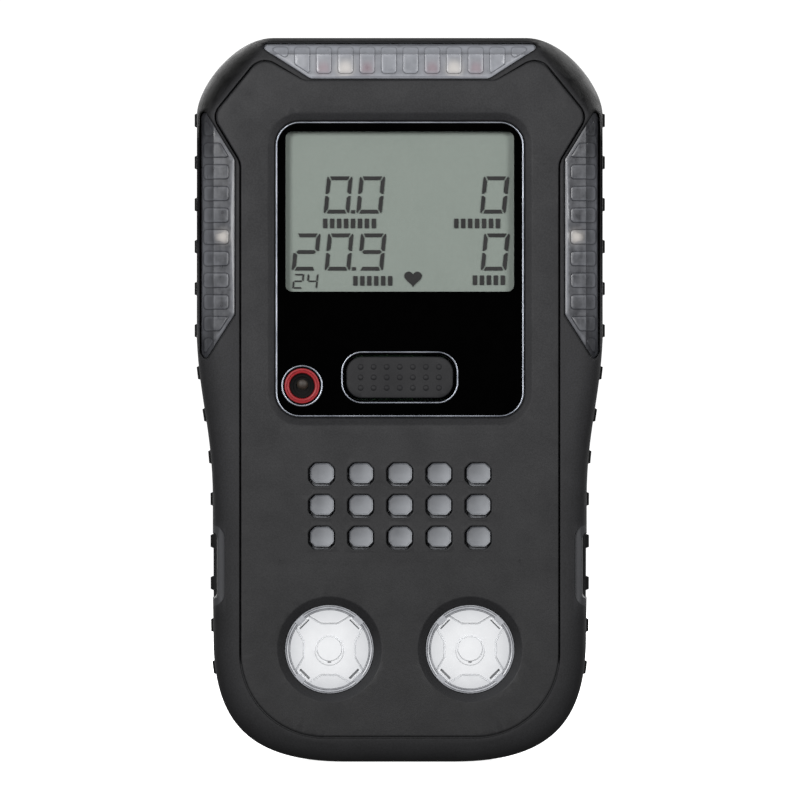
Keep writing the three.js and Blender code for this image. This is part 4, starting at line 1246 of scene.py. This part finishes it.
def rear_housing():
    """The rear shell: a round rim, a channel for the grips, and recesses for label, screws and contacts."""
    label = node_plate(extent("rear_label"), 1.5)
    screws = [node_disc(f"case_screw_{index}", 2.8) for index in range(1, 7)]
    contacts = [node_disc(f"charging_contact_{index}", 1.55) for index in range(1, 4)]
    border = Plate(PANEL_CORNERS + flipped(PANEL_CORNERS))
    steps = [
        Step(label, [(0.1, -0.5), (0.22, -0.08), (0.4, 0)]),
        *[Step(screw, [(-0.02, -2.4), (0, -0.3), (0.25, 0)]) for screw in screws],
        *[Step(contact, [(-0.02, -1.2), (0, -0.25), (0.22, 0)]) for contact in contacts],
        Step(border, [(-0.35, 0), (-0.1, -0.3), (0.1, -0.3), (0.35, 0)]),
    ]
    bosses = screws + contacts

    def base(points):
        return REAR.back - BACK.rim * edge_fall(-case.distance(points))

    def grip_pull(points):
        up = points[:, 1]
        return np.where((up > GRIP.bottom - CHANNEL.end) & (up < GRIP.top + CHANNEL.end), CHANNEL.inset, 0)

    on_boss = (lambda middles: closest(bosses, middles) < BACK.boss_wall, REAR.back - BACK.boss, 0)
    regions = [side_wall(REAR.front), on_boss, *everywhere(REAR.back - BACK.wall)]
    wall = [(CHANNEL.back + 0.05, 0), (CHANNEL.back, grip_pull), (CHANNEL.front, grip_pull)]
    wall += [(CHANNEL.front - 0.05, 0), (REAR.front + SEAM.depth, 0)]
    extra = [boss.loop(BACK.boss_wall) for boss in bosses]
    shape = Shape().stepped(steps, base, regions, within(case), 3.0, rim_loops(), extra, wall)
    shape.piece("rear_shell", "rear_plastic", "rear_housing")


def seam_gasket():
    """The seal between the shells, a little inside their edges."""
    section = [(-0.35, CASE.back - 0.02), (-0.3, CASE.back + 0.15), (-0.35, REAR.front + 0.02)]
    section += [(-1.9, REAR.front + 0.02), (-1.9, CASE.back - 0.02)]
    Shape().slab(case, section, closed_ends=False).piece("seam_seal", "seal_rubber", "housing_gasket")


def hexagon(box, across, count):
    """Points on a hexagon around a CAD node's middle, as many as on the circle that it is joined to."""
    loop = []
    for step in range(count):
        angle = 2 * math.pi * step / count
        radius = across / math.cos((angle + math.pi / 6) % (math.pi / 3) - math.pi / 6)
        loop.append((box.x + radius * math.cos(angle), box.z + radius * math.sin(angle)))
    return loop


def socket_screw(name, profile, across, depth):
    """A screw whose turned profile ends in a six-sided socket."""
    box = extent(name)
    count = 36
    last = profile[-1][1]
    rings = [at_depth(Disc(box.x, box.z, radius, count).loop(), place) for radius, place in profile]
    for width, fall in ((across + 0.08, 0), (across, 0.08), (across, depth)):
        rings.append(at_depth(hexagon(box, width, count), last - fall))
    made = Shape().loft(rings).piece(f"{name}_head", "steel", name)
    corner = across / math.cos(math.pi / 6) + 0.04

    def deep(points, depths):
        """Painted shade inside the socket."""
        away = np.hypot(points[:, 0] - box.x, points[:, 1] - box.z)
        return 0.94 * (away < corner) * (depths < last - 0.04) * (depths > last - depth - 0.04)

    paint(made, deep=deep)


def fasteners():
    for index in range(1, 7):
        box = extent(f"case_screw_{index}")
        head = box.back - 1.9
        profile = [(0.3, box.front), (1.1, box.front + 0.8), (1.1, head), (2.4, head), (2.5, head + 0.15)]
        profile += [(2.5, box.back - 0.5), (2.38, box.back - 0.16), (2.1, box.back)]
        socket_screw(f"case_screw_{index}", profile, 1.15, 1.1)
    for index in range(1, 4):
        box = extent(f"clip_screw_{index}")
        profile = [(0.3, box.front), (1, box.front + 0.5), (1, box.back - 1), (2.1, box.back - 0.35)]
        profile += [(2.2, box.back - 0.2), (2.05, box.back), (1.6, box.back + 0.02)]
        socket_screw(f"clip_screw_{index}", profile, 0.95, 0.6)


def contacts():
    for index in range(1, 4):
        name = f"charging_contact_{index}"
        box = extent(name)
        tip = [(1.25, -0.3), (1.1, -0.12), (0.7, 0), (0.1, 0.04)]
        profile = [(1.25, box.front), *[(radius, box.back + rise) for radius, rise in tip]]
        Shape().slab(Disc(box.x, box.z, 0, 40), profile).piece(f"contact_{index}", "contact_gold", name)


def rear_label():
    box = extent("rear_label")
    profile = [(0, box.front), (0, box.back - 0.06), (-0.06, box.back)]
    Shape().slab(node_plate(box, 1.5), profile).piece("label_plate", "label_grey", "rear_label")


# Clip


def reshaped(shape, place):
    """Moves every point of a shape by place(x, depth, z) in millimetres."""
    moved = Shape()
    moved.faces = shape.faces
    for x, y, z in shape.vertices:
        moved.point(*place(x / MM, y / MM - FRONT, z / MM))
    return moved


def polished(outline, steps, holes, spacing, extra=()):
    """A flat sheet with eased edges, from depth 0 back to its thickness. steps change both of its faces."""
    ease = [(-0.18, 0), (-0.06, 0.05), (0, 0.18)]
    rim = Step(outline, ease)
    bores = [Step(hole, [(-distance, change) for distance, change in ease]) for hole in holes]
    loops = [*rim.loops(), *[loop for step in [*steps, *bores] for loop in step.loops()], *extra]

    def eased(points):
        return rim.change(points) + sum(bore.change(points) for bore in bores)

    def raised(points):
        return sum((step.change(points) for step in steps), np.zeros(len(points)))

    flat = net(loops, within(outline, 0, [(hole, 0) for hole in holes]), spacing)
    back = everywhere(lambda points: SHEET - eased(points) + raised(points))
    return Shape().relief(flat, lambda points: eased(points) + raised(points), back)


def ears(name, left, right, root, tip, node, body):
    """The two ears of a node across the pin, from one depth to another, round at their tips."""
    low, high = PIN.z - EAR, PIN.z + EAR
    corners = [(root, low, 0), (tip, low, EAR - 0.1), (tip, high, EAR - 0.1), (root, high, 0)]
    if tip < root:
        corners = corners[::-1]
    flat = polished(Plate(corners, 0.35), [], [Disc(PIN.depth, PIN.z, PIN_RADIUS + 0.25, 32)], 1.2)
    for side, start in (("left", left), ("right", right - SHEET)):
        ear = reshaped(flat, lambda u, thick, v, start=start: (start + thick, u, v))
        ear.piece(f"{name}_ear_{side}", "steel", node, body=body)


def bracket():
    """The fixed half of the clip: a plate with two ears for the pin."""
    screws = [node_disc(f"clip_screw_{index}", 2.4) for index in range(1, 4)]
    plate = polished(node_plate(BRACKET, 2), [], screws, 2.5)
    plate = reshaped(plate, lambda x, depth, z: (x, BRACKET.front + depth, z))
    plate.piece("bracket_plate", "steel", "clip_bracket")
    ears("bracket", BRACKET.left, BRACKET.right, BRACKET.front + 0.3, PIN.depth + EAR, "clip_bracket", "case")


def bent_line(corners, radius):
    """Points along a path of (depth, z) corners with round bends."""
    points = [np.array(corners[0], float)]
    reach = radius * 0.6
    for before, here, after in zip(corners, corners[1:], corners[2:]):
        start = here + unit(np.subtract(before, here)) * reach
        end = here + unit(np.subtract(after, here)) * reach
        for share in np.linspace(0, 1, 9):
            bend = 2 * share * (1 - share) * np.array(here)
            points.append((1 - share) ** 2 * start + bend + share**2 * end)
    points.append(np.array(corners[-1], float))
    return np.array(points)


def lever():
    """The moving half: one bent sheet with a stamped field, thumb ridges and two ears."""
    middle = LEVER.back - 2.6
    corners = [(32.4, 57.55), (32.5, 59.2), (middle, 62.4), (middle, PIN.z + 4)]
    corners.append((LEVER.back - 0.62, LEVER.top - 0.1))
    path = bent_line(corners, 2.4)
    lengths = np.concatenate([[0], np.cumsum(np.linalg.norm(np.diff(path, axis=0), axis=1))])
    total = lengths[-1]

    def on_path(along):
        return np.array([np.interp(along, lengths, path[:, axis]) for axis in (0, 1)])

    def bend(x, thick, along):
        direction = unit(on_path(along + 0.1) - on_path(along - 0.1))
        outward = np.array((direction[1], -direction[0]))
        depth, z = on_path(along) + outward * (SHEET / 2 - thick)
        return x, depth, z

    half = LEVER.right
    outline = Plate([(-half, 0, 0.6), (half, 0, 0.6), (half, total, 2.6), (-half, total, 2.6)])
    field_step = [(0.3, 0), (0, 0.02), (-0.15, 0.08), (-0.45, 0.22), (-0.6, 0.28), (-0.9, 0.3)]
    steps = [Step(Plate(rectangle(-4.4, 4.4, 12, total - 19, 2)), field_step)]
    for row in range(4):
        ridge = rectangle(-5, 5, total - 4 - 2.4 * row, total - 3 - 2.4 * row, 0.5)
        steps.append(Step(Plate(ridge), [(-0.35, -0.28), (0, 0)]))
    stations = [*lengths[1:-1], *np.linspace(7, total - 17, 8)]
    bands = [np.array([(-half, s), (half, s), (half, s + 0.001), (-half, s + 0.001)]) for s in stations]
    plate = reshaped(polished(outline, steps, [], 1.6, bands), bend)
    plate.piece("lever_plate", "steel", "clip_lever", body="clip")
    ears("lever", LEVER.left, LEVER.right, middle - 0.45, PIN.depth - EAR, "clip_lever", "clip")


def pin():
    """The pin, with a domed head at each end."""
    end = PIN.right
    head = PIN.top - PIN.z
    half = [(end, 0.3), (end - 0.08, head * 0.6), (end - 0.3, head * 0.93)]
    half += [(end - 0.5, head), (end - 0.9, head), (end - 0.9, PIN_RADIUS)]
    profile = half + [(-x, radius) for x, radius in reversed(half)]
    circle = Disc(PIN.depth, PIN.z, 0, 32)
    rings = [[(x, depth, z) for depth, z in circle.loop(radius)] for x, radius in profile]
    Shape().loft(rings).piece("hinge_pin", "steel", "clip_pin")


def spring():
    """A torsion spring around the pin: one leg on the bracket, the other on the lever."""
    coil, turns, half, leg, wire = 1.85, 5, 4.5, 9, 0.34
    line = [(-half, PIN.depth - coil, PIN.z + leg * share) for share in np.linspace(1, 0, 6, endpoint=False)]
    for share in np.linspace(0, 1, 24 * turns):
        angle = share * (2 * turns + 1) * math.pi
        depth, z = PIN.depth - coil * math.cos(angle), PIN.z + coil * math.sin(angle)
        line.append((half * (2 * share - 1), depth, z))
    line += [(half, PIN.depth + coil, PIN.z + leg * share) for share in np.linspace(0, 1, 7)[1:]]
    line = np.array(line)
    angles = np.linspace(0, 2 * math.pi, 10, endpoint=False)
    rings = []
    side = np.array((1.0, 0, 0))
    for place, direction in zip(line, np.gradient(line, axis=0)):
        direction = unit(direction)
        side = unit(side - direction * (side @ direction))
        up = np.cross(direction, side)
        rings.append([place + wire * (math.cos(a) * side + math.sin(a) * up) for a in angles])
    made = Shape().loft(rings).piece("clip_coil", "steel", "clip_spring", body=None, weighted=False)
    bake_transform(made)


# Stage


def area_light(name, place, size, power):
    """A soft round lamp that points at the middle of the object."""
    lamp = bpy.data.lights.new(name, "AREA")
    lamp.shape = "DISK"
    lamp.size = size
    lamp.energy = power
    made = placed(name, lamp)
    made.location = place
    aim = Vector((0, 0, HEIGHT * MM / 2)) - Vector(place)
    made.rotation_euler = aim.to_track_quat("-Z", "Y").to_euler()


def stage_piece(name, corners, level, glow):
    """A flat piece of the studio, such as the floor, that may give off light."""
    mesh = bpy.data.meshes.new(name)
    mesh.from_pydata(corners, [], [range(len(corners))])
    finish = Finish(name)
    shader = finish.shader.inputs
    shader["Base Color"].default_value = (level, level, level, 1)
    shader["Roughness"].default_value = 0.8
    shader["Emission Color"].default_value = (1, 1, 1, 1)
    shader["Emission Strength"].default_value = glow
    mesh.materials.append(finish.material)
    made = placed(name, mesh)
    return made


def room(light, seen):
    """A plain white room that is brighter to look at than the light it gives."""
    world = bpy.data.worlds.new("studio")
    world.use_nodes = True
    tree = world.node_tree
    path = tree.nodes.new("ShaderNodeLightPath")
    strength = tree.nodes.new("ShaderNodeMapRange")
    tree.links.new(path.outputs["Is Camera Ray"], strength.inputs[0])
    strength.inputs[3].default_value = light
    strength.inputs[4].default_value = seen
    background = tree.nodes["Background"]
    background.inputs["Color"].default_value = (1, 1, 1, 1)
    tree.links.new(strength.outputs[0], background.inputs["Strength"])
    bpy.context.scene.world = world


def studio():
    """A white room, a pale floor, soft lamps and a dark card that the glossy parts mirror."""
    room(light=0.12, seen=1.1)
    signs = ((-1, -1), (1, -1), (1, 1), (-1, 1))
    reach = 9
    ground = stage_piece("floor", [(x * reach, y * reach, 0) for x, y in signs], 0.9, 0.98)
    ground.visible_diffuse = False
    ground.visible_glossy = False
    half, away, middle = 2.2, -3.6, HEIGHT * MM / 2
    dark = stage_piece("dark_card", [(x * half, away, middle + z * half) for x, z in signs], 0.004, 0)
    dark.visible_camera = False
    dark.visible_shadow = False
    dark.visible_diffuse = False
    area_light("key_left", (-0.75, -1.8, 0.42), 0.7, 22)
    area_light("key_right", (0.85, -1.8, 0.36), 0.7, 16)
    area_light("rear_left", (-0.7, 1.8, 0.7), 0.9, 18)
    area_light("rear_right", (0.85, 1.75, 0.75), 0.9, 18)
    bpy.context.scene.view_settings.view_transform = "Standard"


def camera():
    """A long lens straight in front of the object, far enough away to see a given width."""
    data = bpy.data.cameras.new("front_view")
    data.lens = 800
    data.sensor_width = 36
    data.clip_end = 60
    seen = 132.32 * MM
    made = placed("front_view", data)
    made.location = (0.04 * MM, CAD_BOX[0].y - seen * data.lens / data.sensor_width, 59.96 * MM)
    made.rotation_euler = (math.radians(90), 0, 0)
    bpy.context.scene.camera = made


finish_frame()
front_housing()
front_panel()
alarm_lenses()
display_window()
display()
push_button()
infrared_port()
vent_filter()
for cap_side in CAPS:
    sensor_cap(cap_side)
grip("right", 1)
grip("left", -1)
rear_housing()
seam_gasket()
fasteners()
contacts()
rear_label()
bracket()
lever()
pin()
spring()
studio()
camera()
